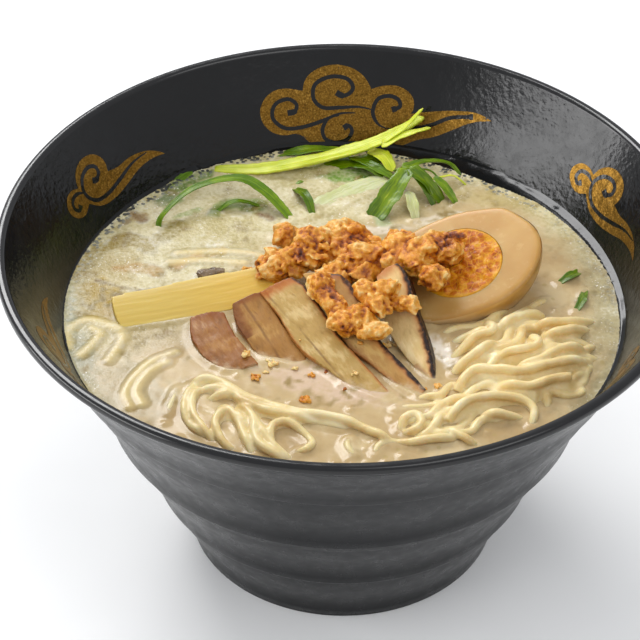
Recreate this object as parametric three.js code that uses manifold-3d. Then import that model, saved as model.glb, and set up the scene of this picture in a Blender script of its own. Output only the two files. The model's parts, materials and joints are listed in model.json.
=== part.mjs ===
// A bowl of ramen: a black melamine bowl with creamy broth, thin noodles, a fan of sliced pork, half a
// marinated egg, a strip of bamboo shoot, a heap of fried crumbs and spring onion.
// Millimetres, +Z up. The bowl stands on z = 0 and its axis is the z axis. -Y is the side of the eater.

import * as THREE from "three";
import { mergeVertices } from "three/addons/utils/BufferGeometryUtils.js";
import Module from "manifold-3d";

const wasm = await Module();
wasm.setup();

const rim = { radius: 100, height: 109, width: 3.2, band: 2.5, undercut: 1.3 };
const foot = { radius: 47.5, ring: 3.5, recess: 3 };
const tiers = {
  creases: [[57.4, 24.6], [70.1, 51.2], [83, 80.3]],
  ledge: 0.76,
  fullness: 0.37,
  hollow: 0.7,
};
const inside = {
  floor: 9,
  floorRadius: 35,
  wall: [[50, 23], [61, 39], [69, 54], [75.5, 69], [82, 82.3]],
};
const brothLevel = 82.3;
const gap = 0.35; // clear space between neighbouring pieces
const around = 40; // facets round the bowl

const noodle = { radius: 1.3, sides: 6, steps: 9 };
const heaps = {
  right: { centre: [53, -27], radii: [20, 18], turn: 30, rise: 4.5, depth: 14 },
  corner: { centre: [30, -48], radii: [19, 10], turn: 25, rise: 1.5, depth: 10 },
  front: { centre: [-16, -55], radii: [34, 11], turn: -4, rise: 1.2, depth: 12 },
};

const egg = {
  centre: [34, 8.5],
  cut: 9.5,
  length: 28,
  blunt: 26,
  width: 19.6,
  heading: 28,
  tilt: 16,
  yolk: 13.6,
  yolkShift: 1,
};

// Each slice of pork starts at its raised end. Left and right are its half widths at the start,
// the middle and the end.
const porkThickness = 4.5;
const porkSlices = [
  {
    start: [-39.4, -9.1],
    rise: 4,
    length: 25,
    heading: -62,
    pitch: 8,
    lean: 8,
    left: [4, 8.7, 3],
    right: [4.1, 4.7, 6],
  },
  {
    start: [-28.2, -5],
    rise: 7,
    length: 31,
    heading: -61,
    pitch: 16,
    lean: 12,
    left: [4.2, 7, 3],
    right: [4.2, 4.9, 4],
  },
  {
    start: [-18, -1.3],
    rise: 10,
    length: 55,
    heading: -54,
    pitch: 11.5,
    lean: 16,
    left: [7, 8.8, 3.4],
    right: [3.2, 2.3, 2],
  },
  {
    start: [-5.8, -0.6],
    rise: 12,
    length: 50,
    heading: -56,
    pitch: 14,
    lean: 25,
    left: [4.6, 6, 1.6],
    right: [3, 1.8, 2.4],
  },
  {
    start: [13.9, 0.2],
    rise: 14,
    length: 41,
    heading: -72,
    pitch: 21,
    lean: 28,
    left: [5.4, 7.6, 1.4],
    right: [2.4, 2.6, 0.9],
  },
];

const bamboo = {
  start: [-67.5, -4.5],
  end: [-19, 9.5],
  width: 14.4,
  thickness: 5,
  rise: [2.2, 4.5],
};
const mushroom = { centre: [-39.5, 13], size: [4.2, 2.2, 2] };

const look = {
  melamine: { color: 0x16171a, roughness: 0.42, metalness: 0 },
  broth: { color: 0xe6d2aa, roughness: 0.25, metalness: 0 },
  noodle: { color: 0xeddb9f, roughness: 0.4, metalness: 0 },
  pork: { color: 0xb98a5a, roughness: 0.5, metalness: 0 },
  eggWhite: { color: 0xeccb97, roughness: 0.35, metalness: 0 },
  yolk: { color: 0xe39a22, roughness: 0.3, metalness: 0 },
  bamboo: { color: 0xe8cf74, roughness: 0.35, metalness: 0 },
  crumb: { color: 0xc9772a, roughness: 0.7, metalness: 0 },
  onion: { color: 0x6da22c, roughness: 0.4, metalness: 0 },
  onionPale: { color: 0xc3d68a, roughness: 0.4, metalness: 0 },
  mushroom: { color: 0x6b5440, roughness: 0.6, metalness: 0 },
};

// --- Helpers ---

const radians = THREE.MathUtils.degToRad;

// A repeatable stream of numbers from 0 to 1.
function randomFrom(seed) {
  let state = seed;
  return () => {
    state = (state * 1664525 + 1013904223) % 4294967296;
    return state / 4294967296;
  };
}

function mergedOf(geometry) {
  const bare = new THREE.BufferGeometry();
  bare.setAttribute("position", geometry.getAttribute("position"));
  bare.setIndex(geometry.index);
  return mergeVertices(bare, 1e-4);
}

function solidOf(geometry) {
  const merged = mergedOf(geometry);
  return new wasm.Manifold(
    new wasm.Mesh({
      numProp: 3,
      vertProperties: merged.getAttribute("position").array,
      triVerts: new Uint32Array(merged.index.array),
    }),
  );
}

function joined(solids) {
  return solids.reduce((all, solid) => all.add(solid));
}

function cutBy(solid, cutters) {
  return cutters.reduce((left, cutter) => left.subtract(cutter), solid);
}

// The largest body of a solid, without the scraps that cutting leaves.
function largest(solid) {
  const bodies = solid.decompose();
  return bodies.reduce((best, body) => (body.volume() > best.volume() ? body : best));
}

const ramen = new THREE.Group();

function addPiece(name, solid, finish) {
  const made = solid.getMesh();
  const geometry = new THREE.BufferGeometry();
  geometry.setAttribute("position", new THREE.BufferAttribute(made.vertProperties, 3));
  geometry.setIndex(new THREE.BufferAttribute(made.triVerts, 1));
  geometry.computeVertexNormals();
  const mesh = new THREE.Mesh(geometry, new THREE.MeshStandardMaterial(finish));
  mesh.name = name;
  ramen.add(mesh);
}

function turned(profile) {
  const points = profile.map(([radius, height]) => new THREE.Vector2(radius, height));
  return new THREE.LatheGeometry(points, around).rotateX(Math.PI / 2);
}

// A closed sheet over a grid. place(u, v, side) gives each point; side 0 is the lower face, 1 the upper.
function sheet(steps, across, place) {
  const points = [];
  const triangles = [];
  const columns = across + 1;
  const at = (side, i, j) => (side * (steps + 1) + i) * columns + j;
  const quad = (a, b, c, d) => triangles.push(a, b, c, a, c, d);
  for (const side of [0, 1]) {
    for (let i = 0; i <= steps; i += 1) {
      for (let j = 0; j <= across; j += 1) {
        points.push(...place(i / steps, j / across, side).toArray());
      }
    }
  }
  for (let i = 0; i < steps; i += 1) {
    for (let j = 0; j < across; j += 1) {
      quad(at(1, i, j), at(1, i + 1, j), at(1, i + 1, j + 1), at(1, i, j + 1));
      quad(at(0, i, j), at(0, i, j + 1), at(0, i + 1, j + 1), at(0, i + 1, j));
    }
    quad(at(0, i, 0), at(0, i + 1, 0), at(1, i + 1, 0), at(1, i, 0));
    quad(at(0, i + 1, across), at(0, i, across), at(1, i, across), at(1, i + 1, across));
  }
  for (let j = 0; j < across; j += 1) {
    quad(at(0, 0, j + 1), at(0, 0, j), at(1, 0, j), at(1, 0, j + 1));
    quad(at(0, steps, j), at(0, steps, j + 1), at(1, steps, j + 1), at(1, steps, j));
  }
  const geometry = new THREE.BufferGeometry();
  geometry.setAttribute("position", new THREE.Float32BufferAttribute(points, 3));
  geometry.setIndex(triangles);
  return geometry;
}

// A strip along a curve, cupped across its width; facing is the side its upper face looks to.
function strip({ path, width, thickness, facing = [0, 0, 1], cup = 0, steps = 12, across = 2, grow = 0 }) {
  const curve = new THREE.CatmullRomCurve3(path.map((point) => new THREE.Vector3(...point)));
  const outward = new THREE.Vector3(...facing);
  return sheet(steps, across, (u, v, side) => {
    const along = curve.getTangent(u);
    const sideways = outward.clone().cross(along).normalize();
    const up = along.clone().cross(sideways);
    const reach = width(u) + 2 * grow;
    const lift = (side - 0.5) * (thickness + 2 * grow) + cup * reach * (2 * v - 1) ** 2;
    const end = grow * (2 * u - 1);
    const point = curve.getPoint(u).addScaledVector(sideways, (v - 0.5) * reach);
    return point.addScaledVector(up, lift).addScaledVector(along, end);
  });
}

// A lump of unit size with knocked-about corners, scaled, turned and placed.
function lump(random, detail, size, place, roughness) {
  const geometry = mergedOf(new THREE.IcosahedronGeometry(1, detail));
  const position = geometry.getAttribute("position");
  for (let i = 0; i < position.count; i += 1) {
    const swell = 1 + roughness * (random() - 0.5);
    const corner = new THREE.Vector3().fromBufferAttribute(position, i).multiplyScalar(swell);
    position.setXYZ(i, corner.x, corner.y, corner.z);
  }
  geometry.scale(...size);
  geometry.rotateX((random() - 0.5) * roughness * 2);
  geometry.rotateY((random() - 0.5) * roughness * 2);
  geometry.rotateZ(random() * Math.PI * roughness * 2);
  return geometry.translate(...place);
}

// --- Bowl ---

function tierProfile([lowerRadius, lowerHeight], [upperRadius, upperHeight]) {
  const steps = 4;
  const rise = upperHeight - lowerHeight;
  const flare = upperRadius - lowerRadius;
  const slant = Math.hypot(rise, flare);
  const points = [];
  for (let i = 0; i <= steps; i += 1) {
    const t = i / steps;
    const out = -4 * t * (1 - t) * tiers.hollow - Math.sin(2 * Math.PI * t) * tiers.fullness;
    const radius = lowerRadius + flare * t + (out * rise) / slant;
    const height = lowerHeight + rise * t - (out * flare) / slant;
    points.push([radius, height]);
  }
  return points;
}

function outerProfile() {
  const underRim = [rim.radius - rim.undercut, rim.height - rim.band - 0.5];
  const tops = [...tiers.creases, underRim];
  let start = [foot.radius, 0];
  const points = [];
  for (const top of tops) {
    points.push(...tierProfile(start, top));
    start = [top[0] + tiers.ledge, top[1] + 0.2];
  }
  return points;
}

function innerProfile() {
  const lip = [rim.radius - rim.width, rim.height - 0.8];
  const [brothRadius] = inside.wall[inside.wall.length - 1];
  const middle = [(lip[0] + brothRadius) / 2 - 0.4, (lip[1] + brothLevel) / 2];
  return [[0, inside.floor], [inside.floorRadius, inside.floor + 4], ...inside.wall, middle, lip];
}

function bowl() {
  const recessEdge = foot.radius - foot.ring;
  const underside = [[0, foot.recess], [recessEdge - 1, foot.recess], [recessEdge, 0]];
  const lip = [
    [rim.radius, rim.height - rim.band],
    [rim.radius, rim.height - 0.5],
    [rim.radius - 0.6, rim.height],
    [rim.radius - rim.width + 0.6, rim.height],
  ];
  const profile = [...underside, ...outerProfile(), ...lip, ...innerProfile().reverse()];
  return solidOf(turned(profile));
}

// The space inside the bowl up to a height, clear of the wall.
function bowlSpace(top) {
  const wall = innerProfile().filter(([, height]) => height <= top);
  const profile = wall.map(([radius, height]) => {
    const raise = radius <= inside.floorRadius ? gap : 0;
    return [Math.max(radius - gap, 0), height + raise];
  });
  const [, topHeight] = profile[profile.length - 1];
  return solidOf(turned([...profile, [0, topHeight]]));
}

// --- Noodles ---

function heapRise(heap, x, y) {
  const turn = -radians(heap.turn);
  const [dx, dy] = [x - heap.centre[0], y - heap.centre[1]];
  const u = (dx * Math.cos(turn) - dy * Math.sin(turn)) / heap.radii[0];
  const v = (dx * Math.sin(turn) + dy * Math.cos(turn)) / heap.radii[1];
  return heap.rise * Math.max(0, 1 - u * u - v * v);
}

function heapCore(heap, grow) {
  const facets = 12;
  const steps = 2;
  const profile = [new THREE.Vector2(0, -heap.depth - grow)];
  for (let i = 1; i <= steps; i += 1) {
    const angle = ((i / steps) * Math.PI) / 2;
    const depth = Math.cos(angle) * heap.depth * 0.97 + grow;
    profile.push(new THREE.Vector2(Math.sin(angle) + grow / 20, -depth));
  }
  for (let i = steps; i >= 0; i -= 1) {
    const reach = i / steps;
    const height = heap.rise * (1 - reach * reach) + 0.5 + grow;
    profile.push(new THREE.Vector2(reach === 0 ? 0 : reach + grow / 20, height));
  }
  const core = new THREE.LatheGeometry(profile, facets).rotateX(Math.PI / 2);
  core.scale(heap.radii[0], heap.radii[1], 1).rotateZ(radians(heap.turn));
  return solidOf(core.translate(heap.centre[0], heap.centre[1], brothLevel));
}

// One noodle through plan points; it lies on the heaps, and clear of the broth beyond them.
function strand(plan, lift = 0) {
  const flat = new THREE.CatmullRomCurve3(plan.map(([x, y]) => new THREE.Vector3(x, y, 0)));
  const points = flat.getPoints(10).map(({ x, y }) => {
    const rise = Math.max(...Object.values(heaps).map((heap) => heapRise(heap, x, y)));
    const height = Math.max(rise + 0.5 + noodle.radius * 0.35, gap + noodle.radius);
    return new THREE.Vector3(x, y, brothLevel + height + lift);
  });
  const section = new THREE.Shape(
    Array.from({ length: noodle.sides }, (_, i) => {
      const angle = (i / noodle.sides) * 2 * Math.PI;
      return new THREE.Vector2(Math.cos(angle) * noodle.radius, Math.sin(angle) * noodle.radius);
    }),
  );
  return new THREE.ExtrudeGeometry(section, {
    steps: noodle.steps,
    bevelEnabled: false,
    extrudePath: new THREE.CatmullRomCurve3(points),
  });
}

// Wavy noodles side by side over the right heap, most of them running away from the eater to the right.
function rightStrands() {
  const random = randomFrom(7);
  const strands = [];
  const count = 10;
  for (let i = 0; i < count; i += 1) {
    const row = (i + 0.5) / count - 0.5;
    const heading = radians(28 + 22 * (random() - 0.5));
    const length = 38 - 20 * Math.abs(row) + 6 * random();
    const middle = [heaps.right.centre[0] - 2 - 12 * row, heaps.right.centre[1] + 1 + 40 * row];
    const sway = 2.2 + 2 * random();
    const phase = random() * 6;
    const plan = [];
    for (let k = 0; k <= 5; k += 1) {
      const along = (k / 5 - 0.5) * length;
      const aside = sway * Math.sin(phase + k * 1.35);
      plan.push([
        middle[0] + along * Math.cos(heading) - aside * Math.sin(heading),
        middle[1] + along * Math.sin(heading) + aside * Math.cos(heading),
      ]);
    }
    strands.push(strand(plan, i % 3 === 0 ? 1.2 : 0));
  }
  return strands;
}

// Noodles that sweep round the front of the bowl, and two that curl back on themselves.
function frontStrands() {
  const random = randomFrom(19);
  const strands = [];
  const count = 9;
  for (let i = 0; i < count; i += 1) {
    const radius = 50 + 24 * ((i * 0.62) % 1);
    const from = 224 + 62 * (i / (count - 1));
    const sweep = 32 + 12 * random();
    const plan = [];
    for (let k = 0; k <= 5; k += 1) {
      const angle = radians(from + (sweep * k) / 5);
      const reach = radius + 1.8 * Math.sin(k * 1.7 + i * 2.1);
      plan.push([reach * Math.cos(angle), reach * Math.sin(angle)]);
    }
    strands.push(strand(plan, i % 4 === 1 ? 1.1 : 0));
  }
  for (const [x, y, size, opening] of [[-18, -58, 6, 300], [-40, -50, 7, 60]]) {
    const plan = [];
    for (let k = 0; k <= 7; k += 1) {
      const angle = radians(opening + 38 * k);
      plan.push([x + size * Math.cos(angle), y + size * 0.8 * Math.sin(angle)]);
    }
    strands.push(strand(plan, 0.8));
  }
  return strands;
}

// --- Pork, egg, bamboo and mushroom ---

function porkSlice(slice, grow = 0) {
  const heading = radians(slice.heading);
  const pitch = radians(slice.pitch);
  const lean = radians(slice.lean);
  const along = new THREE.Vector3(
    Math.cos(heading) * Math.cos(pitch),
    Math.sin(heading) * Math.cos(pitch),
    -Math.sin(pitch),
  );
  const level = new THREE.Vector3(-Math.sin(heading), Math.cos(heading), 0);
  const straight = along.clone().cross(level);
  const side = level.clone().multiplyScalar(Math.cos(lean)).addScaledVector(straight, Math.sin(lean));
  const up = along.clone().cross(side);
  const start = new THREE.Vector3(...slice.start, brothLevel + slice.rise);
  const blend = ([first, middle, last], t) =>
    first * (1 - t) * (1 - 2 * t) + middle * 4 * t * (1 - t) + last * t * (2 * t - 1);
  const solid = sheet(7, 2, (u, v, face) => {
    const left = -blend(slice.left, u) - grow;
    const right = blend(slice.right, u) + grow;
    const crown = 0.5 * (1 - (2 * v - 1) ** 2);
    const height = face === 1 ? crown + grow : crown - porkThickness - grow;
    const reach = u * slice.length + grow * (2 * u - 1);
    const aside = left + (right - left) * v;
    const point = start.clone().addScaledVector(along, reach).addScaledVector(side, aside);
    return point.addScaledVector(up, height);
  });
  return solidOf(solid);
}

// The marinated egg lies on its side, cut lengthwise, with the blunt end up against the bowl's right.
function eggParts(grow = 0) {
  const place = new THREE.Matrix4().makeTranslation(egg.centre[0], egg.centre[1], brothLevel + egg.cut);
  place.multiply(new THREE.Matrix4().makeRotationZ(radians(egg.heading)));
  place.multiply(new THREE.Matrix4().makeRotationY(-radians(egg.tilt)));
  const body = mergedOf(new THREE.SphereGeometry(1, 18, 10).rotateZ(Math.PI / 2));
  const position = body.getAttribute("position");
  for (let i = 0; i < position.count; i += 1) {
    const x = position.getX(i);
    const girth = egg.width + grow + (x > 0 ? 1.2 * x * (1 - x) : 0);
    const reach = (x > 0 ? egg.blunt : egg.length) + grow;
    position.setXYZ(i, x * reach, position.getY(i) * girth, position.getZ(i) * girth);
  }
  const ball = new THREE.SphereGeometry(egg.yolk, 18, 8).translate(egg.yolkShift, 0, 0);
  const pocket = new THREE.SphereGeometry(egg.yolk + gap, 18, 8).translate(egg.yolkShift, 0, 0);
  const away = new THREE.BoxGeometry(90, 90, 60).translate(0, 0, 30 + grow);
  const [white, yolk, hollow, above] = [body, ball, pocket, away].map((shape) =>
    solidOf(shape.applyMatrix4(place)),
  );
  return { whole: white.subtract(above), yolk: yolk.subtract(above), pocket: hollow };
}

function bambooStrip(grow = 0) {
  const [x0, y0] = bamboo.start;
  const [x1, y1] = bamboo.end;
  const [z0, z1] = bamboo.rise.map((rise) => brothLevel + rise - bamboo.thickness / 2);
  return solidOf(
    strip({
      path: [[x0, y0, z0], [(x0 + x1) / 2, (y0 + y1) / 2 - 0.6, (z0 + z1) / 2], [x1, y1, z1]],
      width: () => bamboo.width,
      thickness: bamboo.thickness,
      cup: -0.04,
      steps: 6,
      across: 3,
      grow,
    }),
  );
}

function mushroomBit(grow = 0) {
  const size = mushroom.size.map((reach) => reach + grow);
  return solidOf(lump(randomFrom(3), 0, size, [...mushroom.centre, brothLevel + 0.9], 0.35));
}

// --- Fried crumbs ---

// A heap of crumbs: broad lumps for its body, with small flakes standing out all over it.
function crumbHeap(seed, bodies, flakes, flakeSize) {
  const random = randomFrom(seed);
  const lumps = bodies.map(({ at, size }) => solidOf(lump(random, 1, size, at, 0.3)));
  for (let i = 0; i < flakes; i += 1) {
    const { at, size } = bodies[i % bodies.length];
    const angle = random() * 2 * Math.PI;
    const height = 0.15 + 0.8 * random();
    const reach = Math.sqrt(1 - height * height);
    const place = [
      at[0] + size[0] * reach * Math.cos(angle),
      at[1] + size[1] * reach * Math.sin(angle),
      at[2] + size[2] * height,
    ];
    const big = flakeSize * (0.6 + 0.8 * random());
    lumps.push(solidOf(lump(random, 0, [big, big * 0.75, big * 0.55], place, 0.6)));
  }
  return joined(lumps);
}

const crumbHeaps = {
  crumbs_heap: {
    seed: 5,
    flakes: 17,
    flakeSize: 3.2,
    bodies: [
      { at: [-19, 11, 88], size: [7, 6, 4] },
      { at: [-5, 15, 91], size: [11, 9, 7] },
      { at: [6, 9.5, 90.5], size: [9, 10, 6] },
      { at: [18, 8.5, 93], size: [9, 11, 6.5] },
      { at: [30, 7.5, 95.5], size: [9, 9.5, 4.5] },
      { at: [-14.5, 26, 85], size: [4, 7, 3] },
    ],
  },
  crumbs_clump_left: {
    seed: 11,
    flakes: 6,
    flakeSize: 2.2,
    bodies: [
      { at: [-4, -9, 94.5], size: [5, 4, 2] },
      { at: [3.5, -17, 92], size: [7, 5.5, 3] },
    ],
  },
  crumbs_clump_right: {
    seed: 13,
    flakes: 5,
    flakeSize: 2.2,
    bodies: [{ at: [14.5, -11.5, 95], size: [5.8, 5.5, 2.8] }],
  },
};

// --- Spring onion ---

const level = brothLevel;
const onionStrips = {
  onion_stalk: {
    path: [
      [-41, 67.5, level],
      [-24, 66, level + 1],
      [-6, 69.5, level + 2.5],
      [9.5, 74, level + 5],
      [18.5, 78, level + 7.5],
      [26, 80.5, level + 11],
    ],
    width: (u) => 3 + 2.2 * Math.sin(Math.PI * Math.min(1, u * 1.1)),
    thickness: 1.8,
    cup: 0.18,
    pale: true,
  },
  onion_blade: {
    path: [[-20, 75, level + 0.5], [-10, 76.5, level + 1.2], [-1, 77, level + 1]],
    width: (u) => 1.6 + 2.2 * Math.sin(Math.PI * u),
    thickness: 0.9,
    cup: 0.1,
    steps: 6,
  },
  onion_arch: {
    path: [
      [-56, 37, level - 1],
      [-55, 40, level + 3],
      [-46, 49, level + 6],
      [-33, 54, level + 6],
      [-24, 49.5, level + 4],
      [-15, 40.5, level - 0.5],
    ],
    width: (u) => 1.6 + 1.8 * u,
    thickness: 0.8,
    cup: 0.1,
  },
  onion_arch_small: {
    path: [[-40, 45, level - 0.6], [-33, 47, level + 3], [-24, 48, level - 0.4]],
    width: () => 1.5,
    thickness: 0.7,
    steps: 8,
  },
  onion_leaf: {
    path: [[-15, 57, level - 0.3], [-11.5, 50, level + 2.2], [-8.8, 43, level - 0.4]],
    width: (u) => 1.8 + 1.8 * Math.sin(Math.PI * u),
    thickness: 0.8,
    steps: 6,
  },
  onion_fold_left: {
    path: [[10, 42, level], [15.5, 49.5, level + 4.5], [19.5, 55.5, level + 8]],
    width: (u) => 5.5 - 1.5 * u,
    thickness: 1,
    cup: 0.12,
    steps: 6,
  },
  onion_fold_right: {
    path: [[21.5, 56.5, level + 7.8], [26, 53.5, level + 4.5], [31, 50.5, level]],
    width: (u) => 4.4 - 1.2 * u,
    thickness: 1,
    cup: 0.12,
    steps: 6,
  },
  onion_fold_inner: {
    path: [[20.3, 50.5, level + 4.5], [21.5, 45.5, level + 2.8], [22.5, 42, level - 0.2]],
    width: () => 2.4,
    thickness: 0.9,
    steps: 5,
    pale: true,
  },
  onion_curl: {
    path: [[21.5, 60, level + 7], [29.5, 64, level + 6], [35.5, 62.5, level + 2.8]],
    width: () => 1.8,
    thickness: 0.8,
    steps: 7,
  },
  onion_short: {
    path: [[4, 67.8, level + 1.2], [9, 64.5, level + 2.4], [14, 62.8, level]],
    width: (u) => 3.4 - 1.6 * u,
    thickness: 1,
    steps: 5,
  },
  onion_tip: {
    path: [[28.5, 57, level + 4.4], [31.5, 53.5, level + 3], [35, 49.3, level]],
    width: () => 2,
    thickness: 0.8,
    steps: 5,
  },
  onion_bit: {
    path: [[63.5, 9.2, level - 0.3], [67, 11, level + 1], [71, 15.5, level]],
    width: () => 2.4,
    thickness: 0.8,
    steps: 5,
  },
  onion_bit_near: {
    path: [[68, -4, level - 0.2], [69.5, 0, level + 1], [72, 6.5, level]],
    width: () => 2.2,
    thickness: 0.8,
    steps: 5,
  },
};

// --- Assembly ---

const eggNow = eggParts();
const eggGrown = eggParts(gap);
const porkGrown = porkSlices.map((slice) => porkSlice(slice, gap));
const bambooGrown = bambooStrip(gap);
const coresGrown = Object.values(heaps).map((heap) => heapCore(heap, gap));

addPiece("bowl", bowl(), look.melamine);
addPiece("egg_white", largest(eggNow.whole.subtract(eggNow.pocket)), look.eggWhite);
addPiece("egg_yolk", eggNow.yolk, look.yolk);

porkSlices.forEach((slice, i) => {
  const solid = cutBy(porkSlice(slice), [...porkGrown.slice(i + 1), eggGrown.whole]);
  addPiece(`pork_slice_${i + 1}`, largest(solid), look.pork);
});

const settled = [eggGrown.whole, ...porkGrown, bambooGrown];
addPiece("bamboo_shoot", largest(cutBy(bambooStrip(), [eggGrown.whole, ...porkGrown])), look.bamboo);
addPiece("mushroom", largest(mushroomBit().subtract(bambooGrown)), look.mushroom);

for (const [name, heap] of Object.entries(crumbHeaps)) {
  const below = solidOf(new THREE.BoxGeometry(200, 200, 40).translate(0, 0, brothLevel + gap - 20));
  const solid = crumbHeap(heap.seed, heap.bodies, heap.flakes, heap.flakeSize);
  addPiece(name, largest(cutBy(solid, [...settled, below])), look.crumb);
}

const onionGrown = [];
for (const [name, piece] of Object.entries(onionStrips)) {
  const solid = largest(cutBy(solidOf(strip(piece)), [...settled, ...onionGrown]));
  addPiece(name, solid, piece.pale ? look.onionPale : look.onion);
  onionGrown.push(solidOf(strip({ ...piece, grow: gap })));
}

const bundle = joined([
  ...Object.values(heaps).map((heap) => heapCore(heap, 0)),
  ...[...rightStrands(), ...frontStrands()].map(solidOf),
]);
const bundleInBowl = bundle.intersect(bowlSpace(rim.height));
addPiece("noodles", largest(cutBy(bundleInBowl, [...settled, ...onionGrown])), look.noodle);

const dipped = [...settled, ...onionGrown, ...coresGrown, mushroomBit(gap)];
addPiece("broth", largest(cutBy(bowlSpace(brothLevel), dipped)), look.broth);

export default ramen;
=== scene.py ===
import json
import math
import random
from functools import partial
import bpy
import numpy as np
from mathutils import Matrix, Vector, kdtree, noise

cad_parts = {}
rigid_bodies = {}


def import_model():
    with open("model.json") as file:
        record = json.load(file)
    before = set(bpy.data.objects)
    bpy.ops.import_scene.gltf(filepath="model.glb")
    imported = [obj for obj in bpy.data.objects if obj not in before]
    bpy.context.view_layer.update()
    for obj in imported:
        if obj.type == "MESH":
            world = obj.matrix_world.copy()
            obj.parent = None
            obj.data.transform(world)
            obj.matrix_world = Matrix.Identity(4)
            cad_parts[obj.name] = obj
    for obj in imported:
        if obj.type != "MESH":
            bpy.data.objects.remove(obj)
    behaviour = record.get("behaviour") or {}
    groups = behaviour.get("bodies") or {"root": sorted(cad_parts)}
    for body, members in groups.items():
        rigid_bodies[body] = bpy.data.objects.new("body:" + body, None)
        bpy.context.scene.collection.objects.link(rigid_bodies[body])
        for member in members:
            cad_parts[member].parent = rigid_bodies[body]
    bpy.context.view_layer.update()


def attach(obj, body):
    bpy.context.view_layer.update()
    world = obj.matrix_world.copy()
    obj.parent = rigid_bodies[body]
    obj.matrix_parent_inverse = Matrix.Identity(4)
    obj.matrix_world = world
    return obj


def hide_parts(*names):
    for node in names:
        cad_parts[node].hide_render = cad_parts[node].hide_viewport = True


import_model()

mm = 0.001
brothLevel = 82.3  # height of the soup, in millimetres


# Small helpers

def linearColour(hexText):  # sRGB hex to the linear values that Blender mixes in
    parts = [int(hexText[i:i + 2], 16) / 255 for i in (1, 3, 5)]
    return tuple(p / 12.92 if p <= 0.04045 else ((p + 0.055) / 1.055) ** 2.4 for p in parts) + (1,)


smoothly = {"interpolation_type": "SMOOTHSTEP"}
asColour = {"out": 2, "data_type": "RGBA"}


def addNode(tree, kind, inputs=(), out=0, size=None, stops=(), evenly=False, **settings):
    # inputs are values, hex colours or sockets, in order or by name; size is a pattern's, in millimetres
    new = tree.nodes.new("ShaderNode" + kind)
    for name, value in settings.items():
        setattr(new, name, value)
    for name, value in inputs.items() if isinstance(inputs, dict) else enumerate(inputs):
        if isinstance(value, bpy.types.NodeSocket):
            tree.links.new(value, new.inputs[name])
        else:
            new.inputs[name].default_value = linearColour(value) if isinstance(value, str) else value
    if size:
        new.inputs["Scale"].default_value = 1 / (size * mm)
    if stops:
        bar = new.color_ramp
        bar.interpolation = "LINEAR" if evenly else "EASE"
        while len(bar.elements) < len(stops):
            bar.elements.new(0.5)
        for element, (position, colour) in zip(bar.elements, stops):
            element.position = position
            element.color = linearColour(colour)
    return new.outputs if out is None else new.outputs[out]


# bleed is how light spreads under the skin: weight, radii, depth
def newMaterial(name, bleed=None, **values):
    material = bpy.data.materials.new(name)
    material.use_nodes = True
    shader = material.node_tree.nodes["Principled BSDF"]
    if bleed:
        values.update(zip(("Subsurface_Weight", "Subsurface_Radius", "Subsurface_Scale"), bleed))
    for socket, value in values.items():
        shader.inputs[socket.replace("_", " ")].default_value = value
    return material, partial(addNode, material.node_tree), shader


def feed(shader, **sources):  # links sockets into the shader
    for name, source in sources.items():
        shader.id_data.links.new(source, shader.inputs[name.replace("_", " ")])


def pickOnly(piece):
    bpy.ops.object.select_all(action="DESELECT")
    piece.select_set(True)
    bpy.context.view_layer.objects.active = piece


def added(name):  # the object that the last operator added, under its own name
    piece = bpy.context.active_object
    piece.name = name
    piece.data.name = name
    pickOnly(piece)
    return piece


def inScene(name, data):
    piece = bpy.data.objects.new(name, data)
    bpy.context.scene.collection.objects.link(piece)
    return piece


def copied(source):
    return inScene(source.name, source.data.copy())


def editAll():
    bpy.ops.object.mode_set(mode="EDIT")
    bpy.ops.mesh.select_all(action="SELECT")


def facedOut():
    bpy.ops.mesh.select_all(action="SELECT")
    bpy.ops.mesh.normals_make_consistent(inside=False)
    bpy.ops.object.mode_set(mode="OBJECT")


def facing(direction):
    return Vector(direction).normalized().to_track_quat("Z", "Y").to_matrix().to_4x4()


def turnedBack(x, y, degrees):  # places along and across a shape that is turned by some degrees
    angle = -math.radians(degrees)
    return x * math.cos(angle) - y * math.sin(angle), x * math.sin(angle) + y * math.cos(angle)


def applyModifier(piece, kind, **settings):
    pickOnly(piece)
    new = piece.modifiers.new(kind, kind)
    for name, value in settings.items():
        setattr(new, name, value)
    bpy.ops.object.modifier_apply(modifier=new.name)


def place(piece, material, slotName=None, *nodes):
    if material:  # a piece with several materials has them already
        piece.data.materials.clear()
        piece.data.materials.append(material)
    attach(piece, "root")
    if nodes:
        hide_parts(*nodes)


def smoothShade(piece, angle=40):
    pickOnly(piece)
    bpy.ops.object.shade_smooth_by_angle(angle=math.radians(angle))


def remeshed(piece, voxel, soften=4):  # even small faces with rounded edges
    applyModifier(piece, "REMESH", mode="VOXEL", voxel_size=voxel)
    applyModifier(piece, "SMOOTH", factor=0.5, iterations=soften)


# the camera
viewShape = {"place": (-7, -541.688, 519.567), "tilt": 50.7, "lens": 133.3, "sensor": 36, "across": 640}
wholeView = {"corner": (0, 0), "step": (1, 1)}


def seenAt(picks, window, height):  # where the camera sees each pick on a level plane, in millimetres
    turn = Matrix.Rotation(math.radians(viewShape["tilt"]), 3, "X")
    middle = viewShape["across"] / 2
    perPixel = viewShape["sensor"] / (viewShape["across"] * viewShape["lens"])
    (left, top), (stepX, stepY) = window["corner"], window["step"]
    start = Vector(viewShape["place"])
    spots = []
    for u, v in picks:
        across, down = left + u * stepX - middle, top + v * stepY - middle
        ray = turn @ Vector((across * perPixel, -down * perPixel, -1))
        spot = start + ray * ((height - start.z) / ray.z)
        spots.append((spot.x, spot.y))
    return spots


def plansSeen(shape, kind):  # the picked strands of one kind
    return [seenAt(picks, shape[kind + "Window"], shape[kind + "Level"]) for picks in shape[kind + "Seen"]]


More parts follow.
